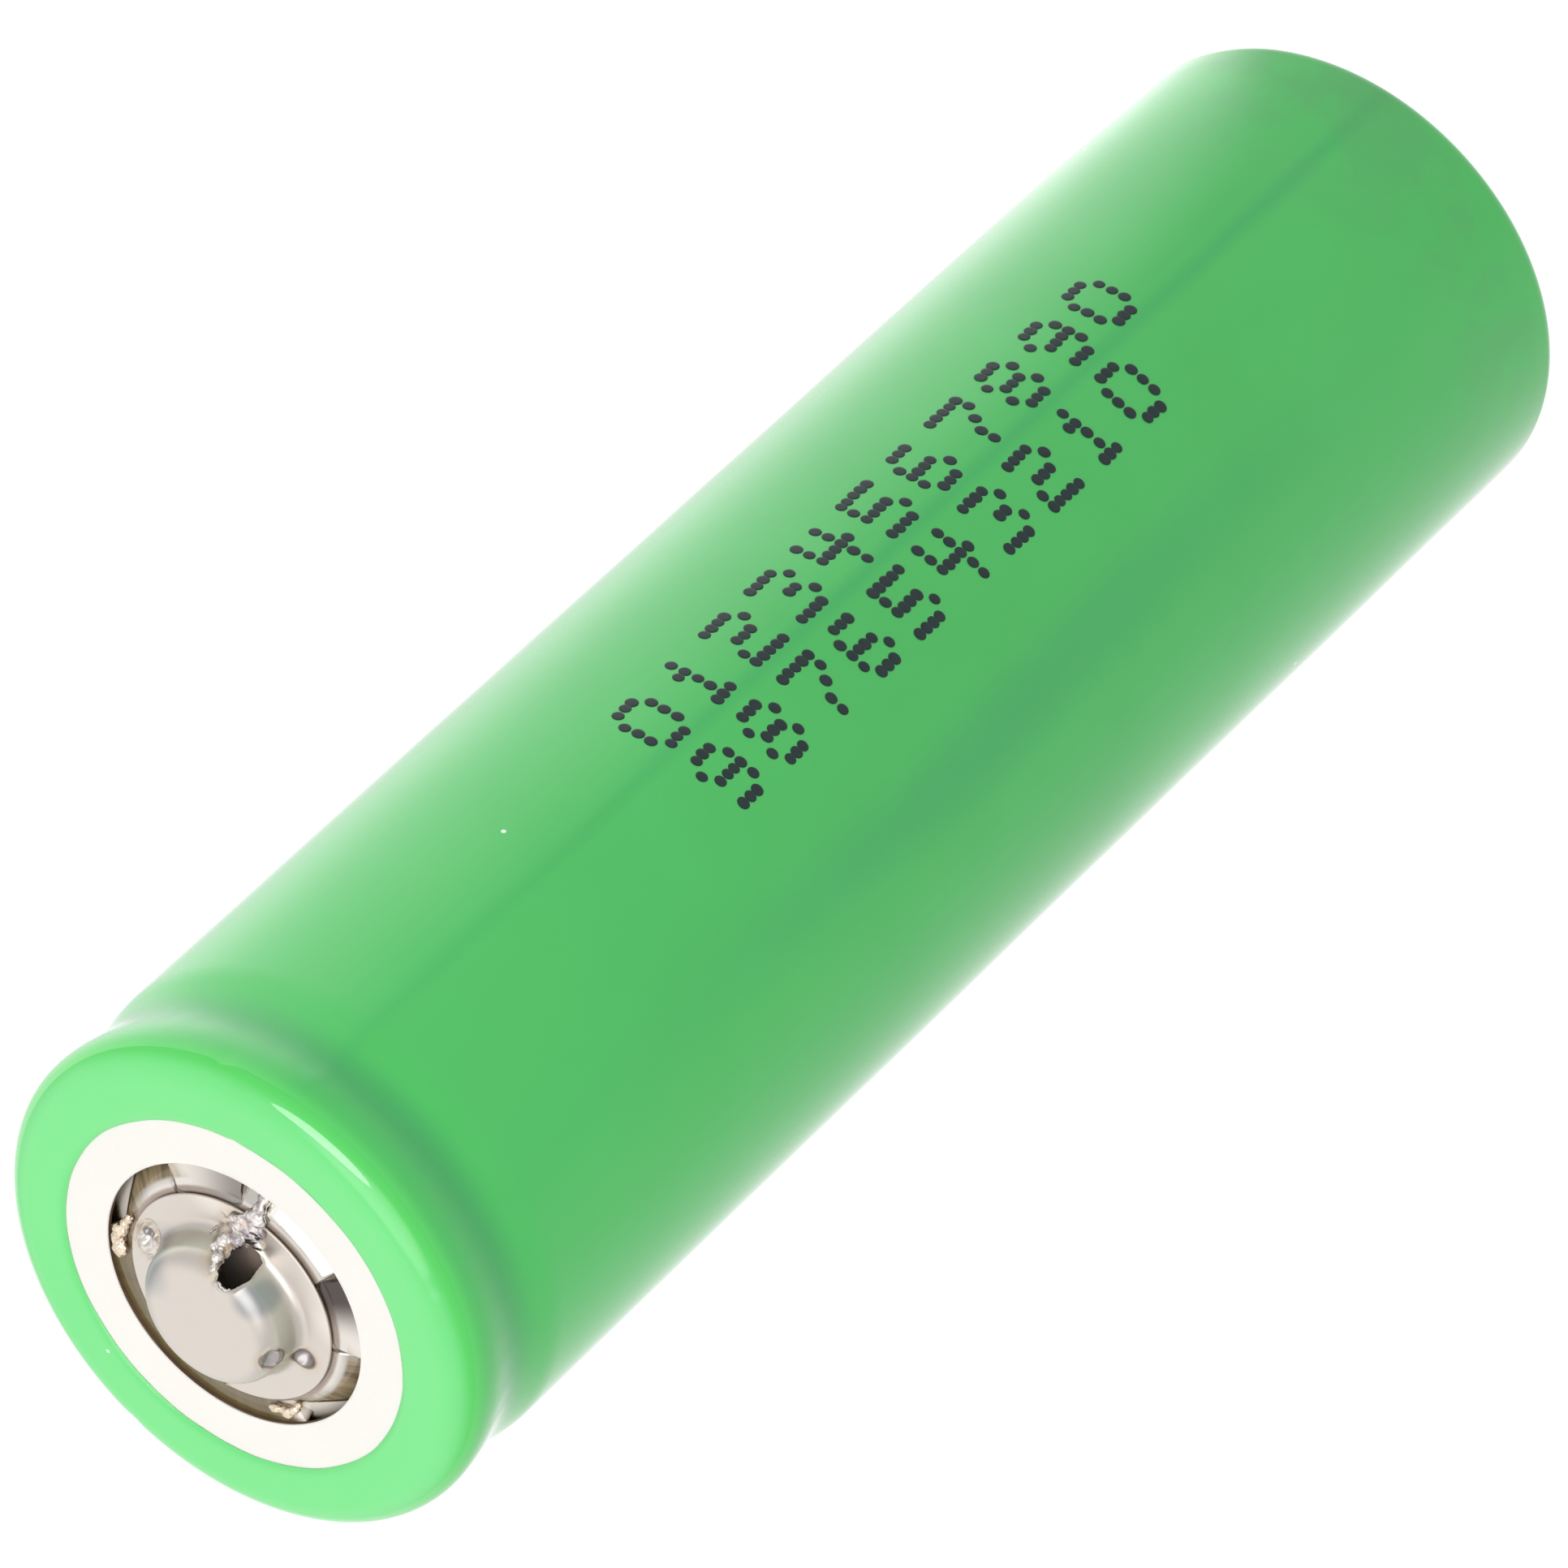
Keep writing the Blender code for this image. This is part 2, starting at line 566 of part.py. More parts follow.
def make_tabs():
    """Each tab is a path in the XZ plane, drawn out along Y."""
    upright = (math.pi / 2, 0, 0)
    weld_level = CONTACT_PLATE_BASE - 2 * LAYER_GAP - CATHODE_TAB_THICKNESS / 2
    cathode_path = [
        (CATHODE_TAB_RADIUS, ROLL_TOP + CATHODE_TAB_GAP),
        (CATHODE_TAB_RADIUS, weld_level - CATHODE_TAB_BEND),
        (CATHODE_TAB_RADIUS - 0.3 * CATHODE_TAB_BEND, weld_level - 0.3 * CATHODE_TAB_BEND),
        (CATHODE_TAB_RADIUS - CATHODE_TAB_BEND, weld_level),
        (CATHODE_TAB_END, weld_level),
    ]
    aluminium = make_material("tab_aluminium", (0.82, 0.83, 0.84), 0.3, 1.0)
    ribbon("cathode_tab", cathode_path, TAB_WIDTH, CATHODE_TAB_THICKNESS, aluminium, rotation=upright)

    inset = CATHODE_TAB_THICKNESS / 2 + TAPE_THICKNESS / 2 + LAYER_GAP
    half_width = TAB_WIDTH / 2 + TAPE_THICKNESS / 2 + LAYER_GAP
    wrap = [
        (CATHODE_TAB_RADIUS + inset, -half_width),
        (CATHODE_TAB_RADIUS + inset, half_width),
        (CATHODE_TAB_RADIUS - inset, half_width),
        (CATHODE_TAB_RADIUS - inset, -half_width),
    ]
    polyimide = make_material("tape_polyimide", (0.75, 0.45, 0.08), 0.3, 0.0)
    middle = TOP_INSULATOR_HEIGHT + TOP_INSULATOR_THICKNESS + TAB_TAPE_RISE + TAB_TAPE_HEIGHT / 2
    place = (0, 0, middle)
    ribbon("cathode_tab_tape", wrap, TAB_TAPE_HEIGHT, TAPE_THICKNESS, polyimide, closed=True, location=place)

    base_level = CAN_BASE + CAN_WALL + LAYER_GAP + ANODE_TAB_THICKNESS / 2
    anode_path = [
        (-ANODE_TAB_RADIUS, ROLL_BASE - ANODE_TAB_GAP),
        (-ANODE_TAB_RADIUS, base_level + ANODE_TAB_BEND),
        (-ANODE_TAB_RADIUS + ANODE_TAB_BEND, base_level),
        (ANODE_TAB_END, base_level),
    ]
    nickel = make_material("tab_nickel", (0.7, 0.69, 0.66), 0.3, 1.0)
    ribbon("anode_tab", anode_path, TAB_WIDTH, ANODE_TAB_THICKNESS, nickel, rotation=upright)


for old in list(bpy.data.objects):
    bpy.data.objects.remove(old, do_unlink=True)

parts = new_collection("cylindrical_cell")
cutters = new_collection("cutters")

make_shrink_sleeve()
make_insulator_ring()
make_steel_can()
make_button_terminal()
make_positive_cap()
make_weld_beads()
make_sealing_gasket()
make_ptc_ring()
make_vent_disc()
make_cid_insulator()
make_cid_contact_plate()
make_insulator_discs()
make_winding()
make_winding_tape()
make_center_pin()
make_tabs()
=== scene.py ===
"""Looks of the cylindrical cell: fine meshes round the CAD frame, procedural materials, studio and camera.

Shapes are built in millimetres and stored in metres. Z is the cell's axis, from the base to the button.
Azimuths are in degrees, counter-clockwise from +X, and the camera stands at azimuth 270.
"""

import math

import bmesh
import bpy
import numpy as np
from mathutils import Matrix, Vector, noise


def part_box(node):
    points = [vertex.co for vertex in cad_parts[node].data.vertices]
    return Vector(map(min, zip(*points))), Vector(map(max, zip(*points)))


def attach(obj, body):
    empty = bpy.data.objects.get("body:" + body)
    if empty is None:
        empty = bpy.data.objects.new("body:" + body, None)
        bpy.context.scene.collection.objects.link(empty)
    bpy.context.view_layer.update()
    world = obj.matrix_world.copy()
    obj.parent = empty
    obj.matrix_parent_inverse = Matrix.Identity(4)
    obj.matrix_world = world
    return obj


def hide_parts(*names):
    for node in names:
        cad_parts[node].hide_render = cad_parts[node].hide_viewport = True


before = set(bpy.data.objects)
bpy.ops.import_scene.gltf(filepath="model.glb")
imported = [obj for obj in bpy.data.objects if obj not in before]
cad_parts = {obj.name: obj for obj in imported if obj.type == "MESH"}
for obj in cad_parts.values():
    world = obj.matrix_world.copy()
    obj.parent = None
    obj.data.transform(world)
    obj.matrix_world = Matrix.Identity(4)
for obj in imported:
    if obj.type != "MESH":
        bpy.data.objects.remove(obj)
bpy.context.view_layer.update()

MM = 0.001


def low(node):
    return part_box(node)[0].z / MM


def top(node):
    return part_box(node)[1].z / MM


def reach(node):
    """A turned node's outer radius."""
    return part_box(node)[1].x / MM


# Levels and radii from the CAD frame, in mm
BODY_TOP = top("shrink_sleeve")
RIM_RADIUS = reach("shrink_sleeve")
SLEEVE_RADIUS = RIM_RADIUS - 0.05
FLANGE_RADIUS = reach("button_terminal")
BUTTON_TOP = top("button_terminal")
CAN_RADIUS = reach("steel_can")
CAN_TOP = top("steel_can")
CAN_BASE = low("steel_can")
RING_TOP = top("insulator_ring")
RING_RADIUS = reach("insulator_ring")
CAP_TOP = top("positive_cap")
STACK_RADIUS = reach("positive_cap")

# Ring
RING_HOLE_RADIUS = 4.97

# Sleeve
SLEEVE_WALL = 0.13
TOP_FOLD_RADIUS = 6.67
BASE_FOLD_RADIUS = 6.6
TOP_FILLET = 1.2
BASE_FILLET = 0.75
GROOVE_HEIGHT = 62.0
GROOVE_ABOVE = 2.0
GROOVE_BELOW = 2.1
GROOVE_DEPTH = 0.26
CREASE_AZIMUTHS = (-69.0, 111.0)
# Azimuth of a band of painted shade down the sleeve's side
SHADE_BAND_AZIMUTH = -112.0

# Button
BUTTON_WALL = 0.15
BURN_AZIMUTH = 281.0
BURN_RADIUS = 2.6
BURN_HALF_WIDTH = 0.5
BURN_HALF_HEIGHT = 0.86
BURN_POWER = 2.3  # 2 would make the hole an ellipse, and more squares it off
WINDOW_AZIMUTHS = (48, 138, 228, 318)
FAR_LEVEL_AZIMUTHS = (78, 108)
TONGUE_RADIUS = 4.5

# Marks of the welding on the button, by azimuth and radius
PIT = (194.5, 3.1)
SCAR = (19.0, 3.37)
DIMPLE_AZIMUTH = 201.0
# Where the welds heated the metal: azimuth, radius, height above the flange, reach of the tint
HEAT_SPOTS = (
    (*PIT, 0.0, 0.8),
    (DIMPLE_AZIMUTH, 2.4, 1.15, 0.75),
    (*SCAR, 0.0, 1.0),
    (117.0, 3.8, 0.0, 0.6),
    (292.0, 3.2, 0.1, 1.3),
    (296.0, 2.5, 1.0, 0.9),
)
# Painted shade: where the button's side is painted greyer, for darker reflections: azimuth, radius, height
# above the flange, reach
SHADE_SPOTS = (
    (254.0, 2.65, 0.8, 0.75),
    (257.0, 2.35, 1.18, 0.8),
    (8.0, 2.5, 0.85, 1.4),
)
# Weld craters: azimuth, radius, height above the flange, radius of the dark outline
CRATERS = (
    (*PIT, 0.0, 0.4),
    (DIMPLE_AZIMUTH, 2.5, 1.1, 0.42),
    (13.5, 3.38, 0.0, 0.2),
    (117.0, 3.8, 0.0, 0.17),
)

# Bent edges beside the button: painted shade along each bend, and painted light on the cap past it: the
# direction across each, and its distance in mm
BENT_EDGES = (
    ((0.873, 0.487, 0.0), 4.45),
    ((-0.764, 0.645, 0.0), 3.87),
)

# Camera
CAMERA_ELEVATION = 39.41
CAMERA_ROLL = -132.96
CAMERA_DISTANCE = 434.6
CAMERA_LENS = 299.7
CAMERA_TARGET = (-0.044, 0.0, 34.14)

# Floor
FLOOR_GAP = 0.04
BRIGHT_SIDE_AZIMUTH = 5.0

rng = np.random.default_rng(18650)


# Meshes


def place(azimuth, radius, height):
    """The point at this azimuth in degrees, in mm."""
    angle = math.radians(azimuth)
    return Vector((radius * math.cos(angle), radius * math.sin(angle), height))


def arc(centre, radius, start, end, steps):
    """Points on an arc, from one angle to the other in degrees. 0 is outwards, or along +X."""
    angles = np.radians(np.linspace(start, end, steps + 1))
    return [(centre[0] + radius * math.cos(a), centre[1] + radius * math.sin(a)) for a in angles]


def line(start, end, steps):
    """Profile points from start up to, but not at, end."""
    return [
        (start[0] + (end[0] - start[0]) * i / steps, start[1] + (end[1] - start[1]) * i / steps)
        for i in range(steps)
    ]


def smooth_through(points, steps):
    """Profile points on a Catmull-Rom curve through these points."""
    ends = [points[0], *points, points[-1]]
    found = []
    for before, a, b, after in zip(ends, ends[1:], ends[2:], ends[3:]):
        for i in range(steps):
            t = i / steps
            found.append(tuple(
                0.5 * (2 * q + (r - p) * t + (2 * p - 5 * q + 4 * r - s) * t * t
                       + (3 * q - p - 3 * r + s) * t ** 3)
                for p, q, r, s in zip(before, a, b, after)
            ))
    return [*found, points[-1]]


def rounded(points, radius, steps):
    """The profile with each inner corner rounded to this radius, where its sides are long enough."""
    found = [points[0]]
    for before, corner, after in zip(points, points[1:], points[2:]):
        corner_at = Vector(corner)
        back, ahead = Vector(before) - corner_at, Vector(after) - corner_at
        cut = min(radius, back.length * 0.45, ahead.length * 0.45)
        start, end = corner_at + back.normalized() * cut, corner_at + ahead.normalized() * cut
        for i in range(steps + 1):
            t = i / steps
            found.append(tuple(start * (1 - t) ** 2 + corner_at * 2 * t * (1 - t) + end * t * t))
    return [*found, points[-1]]


def split(path, length, whole=math.ceil):
    """The path with each side cut into pieces of this length, their number made whole."""
    found = []
    for start, end in zip(path, path[1:]):
        found += line(start, end, max(1, whole(math.dist(start, end) / length)))
    return [*found, path[-1]]


def runs(path):
    """The length along the path at each of its points."""
    return np.concatenate([[0.0], np.cumsum(np.hypot(*np.diff(path, axis=0).T))])


def even_columns(count):
    return np.linspace(0, 2 * math.pi, count, endpoint=False)


def grain(points, size, seed, octaves=2):
    """Smooth noise from -1 to 1 at each point, its features about this size in mm."""
    offset = Vector((seed, 2 * seed, 3 * seed))
    return np.array([
        noise.fractal(Vector(p) / size + offset, 1.0, 2.0, octaves) for p in np.asarray(points, float)
    ])


def round_grain(angle, size, seed):
    """Noise round the axis, its features about this size in radians."""
    return grain(np.stack([np.cos(angle), np.sin(angle), 0 * angle], axis=1), size, seed)


def strip_grain(run, height, size, seed, octaves=2):
    """Noise on a strip's flat face."""
    return grain(np.stack([run, height, 0 * run], axis=1), size, seed, octaves)


def radius_of(points):
    return np.hypot(points[:, 0], points[:, 1])


def bell(distance, width):
    """1 at no distance, falling to 0.37 at this width."""
    return np.exp(-((distance / width) ** 2))


def angle_from(angles, degrees):
    """Each angle's distance from this azimuth, in radians, from -pi to pi."""
    return (angles - math.radians(degrees) + math.pi) % (2 * math.pi) - math.pi


def added(name, data):
    """A new object in the scene."""
    made = bpy.data.objects.new(name, data)
    bpy.context.scene.collection.objects.link(made)
    return made


def mesh_from(shape, name):
    """The bmesh as a mesh."""
    mesh = bpy.data.meshes.new(name)
    shape.to_mesh(mesh)
    shape.free()
    return mesh


def finished(name, mesh, material, nodes=(), sharp=38):
    """Makes the mesh, in mm, a piece on the cell's body."""
    mesh.transform(Matrix.Scale(MM, 4))
    mesh.shade_smooth()
    mesh.set_sharp_from_angle(angle=math.radians(sharp))
    piece = added(name, mesh)
    mesh.materials.clear()
    mesh.materials.append(material)
    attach(piece, "root")
    if nodes:
        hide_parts(*nodes)
    return piece


def evaluated(mesh, kind, **settings):
    """The mesh after one modifier."""
    holder = added("holder", mesh)
    modifier = holder.modifiers.new(kind, kind)
    for key, value in settings.items():
        setattr(modifier, key, value)
    graph = bpy.context.evaluated_depsgraph_get()
    result = bpy.data.meshes.new_from_object(holder.evaluated_get(graph))
    bpy.data.objects.remove(holder)
    bpy.data.meshes.remove(mesh)
    return result


def lathe(profile, columns, wall=0.0, ring=False, opening=None, lift=None, edge=None):
    """Turns a profile of (radius, height), which runs down its outer side, into a mesh.

    columns are the azimuths in radians. opening(angle, run) is below 0 inside a hole, run being the length
    along the profile, and the mesh meets its outline. lift(angle, run, points) moves points outwards, and
    edge(angle, run) shifts their radius. A wall grows inwards, and a ring profile closes on itself.
    """
    profile = np.array(profile, float)
    run_at = runs(profile)
    slope = np.gradient(profile, run_at, axis=0)
    rows, count = len(profile), len(columns)
    angle, run = np.meshgrid(np.asarray(columns, float), run_at)
    angle, run = angle.ravel(), run.ravel()

    down, across = np.arange(rows if ring else rows - 1)[:, None], np.arange(count)
    corners = ((0, 0), (1, 0), (1, 1), (0, 1))
    faces = [((down + j) % rows * count + (across + i) % count).ravel() for j, i in corners]
    faces = np.stack(faces, axis=1)

    if opening:
        wrapped = angle[faces]
        wrapped = np.where(wrapped - wrapped[:, :1] < -math.pi, wrapped + 2 * math.pi, wrapped)
        gone = opening(wrapped.mean(axis=1), run[faces].mean(axis=1)) < 0
        edge_points = np.intersect1d(faces[gone], faces[~gone])
        faces = faces[~gone]
        step = 1e-4
        for _ in range(4):
            a, s = angle[edge_points], run[edge_points]
            radius = np.maximum(np.interp(s, run_at, profile[:, 0]), 1e-3)
            here_value = opening(a, s)
            by_angle = (opening(a + step / radius, s) - here_value) / step
            by_run = (opening(a, s + step) - here_value) / step
            size = by_angle ** 2 + by_run ** 2 + 1e-9
            angle[edge_points] = a - here_value * by_angle / size / radius
            run[edge_points] = s - here_value * by_run / size

    radius, height = (np.interp(run, run_at, profile[:, i]) for i in (0, 1))
    outward, upward = -np.interp(run, run_at, slope[:, 1]), np.interp(run, run_at, slope[:, 0])
    length = np.hypot(outward, upward)
    outward, upward = outward / length, upward / length
    if edge:
        radius = radius + edge(angle, run)
    points = np.stack([radius * np.cos(angle), radius * np.sin(angle), height], axis=1)
    if lift:
        normal = np.stack([outward * np.cos(angle), outward * np.sin(angle), upward], axis=1)
        points = points + normal * lift(angle, run, points)[:, None]

    used = np.unique(faces)
    index = np.full(len(points), -1)
    index[used] = np.arange(len(used))
    mesh = bpy.data.meshes.new("lathe")
    mesh.from_pydata(points[used].tolist(), [], index[faces].tolist())
    if profile[:, 0].min() < 1e-6:
        shape = bmesh.new()
        shape.from_mesh(mesh)
        bmesh.ops.remove_doubles(shape, verts=shape.verts, dist=1e-5)
        bmesh.ops.dissolve_degenerate(shape, edges=shape.edges, dist=1e-6)
        shape.to_mesh(mesh)
        shape.free()
    if wall:
        mesh = evaluated(
            mesh, "SOLIDIFY", thickness=wall, offset=-1.0, use_even_offset=True, thickness_clamp=1.5)
    return mesh


# Materials


class Nodes:
    """A node tree, and the kinds of node that the looks are made of."""

    def __init__(self, tree):
        self.tree = tree

    def node(self, kind, inputs=None, **settings):
        made = self.tree.nodes.new(kind)
        for key, value in settings.items():
            setattr(made, key, value)
        for key, value in (inputs or {}).items():
            if isinstance(value, bpy.types.NodeSocket):
                self.tree.links.new(value, made.inputs[key])
            else:
                made.inputs[key].default_value = value
        return made

    def vector(self, operation, a, b=None, scale=None):
        inputs = {0: a}
        if b is not None:
            inputs[1] = b
        if scale is not None:
            inputs["Scale"] = scale
        made = self.node("ShaderNodeVectorMath", inputs, operation=operation)
        return made.outputs["Value" if operation in ("DISTANCE", "DOT_PRODUCT") else "Vector"]

    def math(self, operation, a, b=0.0, c=0.0):
        return self.node("ShaderNodeMath", {0: a, 1: b, 2: c}, operation=operation).outputs[0]

    def times(self, a, b):
        return self.math("MULTIPLY", a, b)

    def span(self, value, start, end, first=0.0, last=1.0):
        """A smooth step from first to last as value goes from start to end."""
        inputs = {"Value": value, "From Min": start, "From Max": end, "To Min": first, "To Max": last}
        return self.node("ShaderNodeMapRange", inputs, interpolation_type="SMOOTHSTEP").outputs["Result"]

    def near(self, value, centre, half_width):
        """1 at the centre, falling smoothly to 0 at half_width from it."""
        return self.span(self.math("ABSOLUTE", self.math("SUBTRACT", value, centre)), 0.0, half_width, 1.0, 0.0)

    def mix(self, factor, a, b, share=1.0):
        """From a towards b by factor times share. Each is a colour or a socket."""
        inputs = {0: factor if share == 1.0 else self.times(factor, share)}
        for key, colour in ((6, a), (7, b)):
            inputs[key] = colour if isinstance(colour, bpy.types.NodeSocket) else (*colour, 1.0)
        return self.node("ShaderNodeMix", inputs, data_type="RGBA").outputs[2]


class Look(Nodes):
    """A Principled material. position is the object's own position in mm; x, y and height are its parts."""

    def __init__(self, name, **values):
        self.material = bpy.data.materials.new(name)
        self.material.use_nodes = True
        super().__init__(self.material.node_tree)
        self.surface = self.tree.nodes["Principled BSDF"]
        self.colour = None
        for key, value in values.items():
            self.surface.inputs[key.replace("_", " ")].default_value = value
        self.position = self.vector("SCALE", self.node("ShaderNodeTexCoord").outputs["Object"], scale=1 / MM)
        self.x, self.y, self.height = self.node("ShaderNodeSeparateXYZ", {0: self.position}).outputs

    def radius(self):
        return self.math("SQRT", self.math("ADD", self.times(self.x, self.x), self.times(self.y, self.y)))

    def azimuth(self):
        """In degrees, from -180 to 180."""
        return self.math("DEGREES", self.math("ARCTAN2", self.y, self.x))

    def distance_to(self, azimuth, radius, rise):
        """From a place on the button, with its rise above the flange."""
        return self.vector("DISTANCE", self.position, tuple(place(azimuth, radius, BODY_TOP + rise)))

    def noise(self, size, detail, roughness=0.5, stretch=(1, 1, 1), vector=None):
        """Noise from 0 to 1 with features of this size in mm, drawn out along each axis by stretch."""
        at = self.vector("MULTIPLY", vector or self.position, tuple(1 / (size * s) for s in stretch))
        inputs = {"Vector": at, "Scale": 1.0, "Detail": detail, "Roughness": roughness}
        return self.node("ShaderNodeTexNoise", inputs).outputs["Fac"]

    def wander(self, cloud, width):
        """The cloud as a shift of up to half of this width either way."""
        return self.times(self.math("SUBTRACT", cloud, 0.5), width)

    def paint(self, factor, colour, share=1.0):
        """Lays another colour over the look's own, by factor times share."""
        self.colour = self.mix(factor, self.colour, colour, share)

    def bump(self, height, depth, before=None):
        """Relief of this depth in mm where height goes from 0 to 1."""
        inputs = {"Height": height, "Strength": 1.0, "Distance": depth * MM}
        if before is not None:
            inputs["Normal"] = before
        return self.node("ShaderNodeBump", inputs).outputs["Normal"]

    def set(self, **sockets):
        for key, socket in sockets.items():
            self.tree.links.new(socket, self.surface.inputs[key.replace("_", " ")])
        return self.material

    def finish(self, cloud, rough, normal, within=(0.3, 0.7), **sockets):
        """The material, going through the range of roughness as the cloud goes through within."""
        roughness = self.span(cloud, *within, *rough)
        return self.set(Base_Color=self.colour, Roughness=roughness, Normal=normal, **sockets)


def shade(colour, share):
    """The colour darkened, or brightened, to this share of itself."""
    return tuple(c * share for c in colour)


def sleeve_look():
    """Glossy green film: painted shade along its two creases, in a dull band down its side and in its groove,
    painted light on its upper end and rim, darker and blotchy near its base, and paler where it folds, partly
    as painted light.
    """
    look = Look("pvc_green", Specular_IOR_Level=0.0, Coat_Weight=1.0, Coat_Roughness=0.07, Coat_IOR=1.5)
    azimuth, height = look.azimuth(), look.height
    mottle = look.noise(6.0, 3.0)
    look.colour = look.mix(mottle, (0.026, 0.325, 0.058), (0.040, 0.385, 0.078))
    # Painted shade: a darker band, wandering a little, down the side
    wander = look.wander(look.noise(9.0, 2.0, stretch=(1, 1, 2.0)), 16.0)
    band = look.near(look.math("ADD", azimuth, wander), SHADE_BAND_AZIMUTH, 13.0)
    band = look.times(band, look.near(height, 36.0, 32.0))
    look.paint(band, (0.018, 0.265, 0.076), 0.55)
    # Painted shade along the two creases
    shifted = look.math("ADD", azimuth, look.wander(look.noise(5.0, 2.0), 1.6))
    for side in CREASE_AZIMUTHS:
        look.paint(look.near(shifted, side, 3.8), (0.015, 0.29, 0.066), 0.6)
    # Darker and blotchy near the base
    darker_near_base = look.times(look.span(height, 9.0, 1.0), look.span(look.noise(3.5, 3.0), 0.42, 0.62, 0.0, 0.5))
    look.paint(darker_near_base, (0.05, 0.27, 0.075))
    # Painted light: the green is painted lighter towards the button end
    look.paint(look.span(height, 30.0, 62.0, 0.0, 0.55), (0.042, 0.44, 0.082))
    # Painted shade in the bead groove
    groove_shade = look.near(height, GROOVE_HEIGHT + 0.35, 1.5)
    look.paint(groove_shade, (0.018, 0.28, 0.068), 0.75)
    # Painted light: the rim under the fold is painted brighter green, where light from above falls
    shoulder = look.span(height, BODY_TOP - 1.5, BODY_TOP - 0.45)
    look.paint(shoulder, (0.075, 0.51, 0.095))
    # Paler where the film folds over the ring and the base: partly the film's own whitening at the fold, partly
    # painted light on the end faces
    folded_over = look.span(height, BODY_TOP - 0.6, BODY_TOP - 0.2)
    folded = look.math("MAXIMUM", folded_over, look.span(height, 0.5, 0.05))
    look.paint(folded, look.mix(mottle, (0.12, 0.555, 0.165), (0.14, 0.59, 0.185)))
    scattered = look.vector("SCALE", look.position, scale=1 / 4.5)
    cells = look.node("ShaderNodeTexVoronoi", {"Vector": scattered, "Scale": 1.0})
    dust = look.span(cells.outputs["Distance"], 0.026, 0.012, 0.0, 0.85)
    look.paint(dust, (0.75, 0.85, 0.74))
    relief = look.bump(look.noise(0.5, 3.0, stretch=(1, 1, 2.5)), 0.004)
    relief = look.bump(look.noise(2.2, 2.0), 0.012, relief)
    return look.finish(look.noise(1.5, 4.0), (0.2, 0.34), relief)


def paper_look():
    """Cream pressed paper, with painted shade on the wall of its hole over the paper's brown cut edge."""
    look = Look("paper_cream", Specular_IOR_Level=0.3)
    fibres = look.noise(0.16, 5.0, 0.65)
    look.colour = look.mix(look.noise(1.6, 3.0), (0.66, 0.645, 0.605), (0.685, 0.67, 0.63))
    look.paint(look.span(fibres, 0.62, 0.8), (0.62, 0.57, 0.50))
    # Painted shade on the wall of the hole, over the paper's brown cut edge
    near_hole = look.span(look.radius(), RING_HOLE_RADIUS + 0.17, RING_HOLE_RADIUS + 0.09)
    wall = look.times(near_hole, look.span(look.height, RING_TOP - 0.02, RING_TOP - 0.05))
    look.paint(wall, (0.13, 0.08, 0.05))
    return look.finish(fibres, (0.6, 0.85), look.bump(fibres, 0.012), within=(0.2, 0.8))


def nickel_look():
    """Nickel plate, painted lighter on its near flange as painted light, with patches of painted shade on its
    side and a painted highlight by the scar, tinted round the welds, its cut edge rusting.
    """
    look = Look("button_nickel")
    nickel = (0.63, 0.58, 0.53)
    cloud = look.noise(1.4, 4.0)
    speck = look.noise(0.07, 3.0, 0.6)
    look.colour = look.mix(cloud, shade(nickel, 0.95), shade(nickel, 1.04))
    look.paint(look.span(speck, 0.66, 0.78, 0.0, 0.45), shade(nickel, 0.7))
    # Painted light: the near part of the flange is painted lighter
    on_flange = look.span(look.height, BODY_TOP + 0.2, BODY_TOP + 0.08)
    flange_light = look.times(look.span(look.y, -1.8, -2.8, 0.0, 0.9), on_flange)
    look.paint(flange_light, (0.77, 0.715, 0.66))
    # Painted shade: grey patches on the button's side
    for *where, spread in SHADE_SPOTS:
        shade_patch = look.span(look.distance_to(*where), spread, 0.4 * spread, 0.0, 0.85)
        look.paint(shade_patch, (0.36, 0.365, 0.37))
    for *where, spread in HEAT_SPOTS:
        ragged = look.math("ADD", look.distance_to(*where), look.wander(cloud, 0.5 * spread))
        look.paint(look.span(ragged, spread, 0.45 * spread, 0.0, 0.55), (0.60, 0.49, 0.36))
        look.paint(look.span(ragged, 0.55 * spread, 0.3 * spread, 0.0, 0.6), (0.33, 0.27, 0.24))
    # Painted highlight: a pale spot by the weld scar
    scar_glint_distance = look.math("ADD", look.distance_to(21.0, 3.3, 0.0), look.times(cloud, 0.5))
    look.paint(look.span(scar_glint_distance, 0.85, 0.6, 0.0, 0.8), (0.78, 0.755, 0.72))
    for *where, size in CRATERS:
        distance = look.distance_to(*where)
        look.paint(look.span(distance, size, 0.7 * size, 0.0, 0.7), (0.40, 0.39, 0.41))
        look.paint(look.near(distance, size, 0.09), (0.16, 0.14, 0.14), 0.8)
    relief = look.bump(speck, 0.0015)
    relief = look.bump(look.noise(0.35, 2.0, stretch=(0.2, 6.0, 1.0)), 0.0012, relief)
    cut = look.span(look.radius(), FLANGE_RADIUS - 0.03, FLANGE_RADIUS - 0.01)
    look.paint(cut, (0.42, 0.32, 0.25))
    shine = look.span(cut, 0.0, 1.0, 1.0, 0.25)
    return look.finish(cloud, (0.34, 0.44), relief, within=(0.25, 0.75), Metallic=shine)


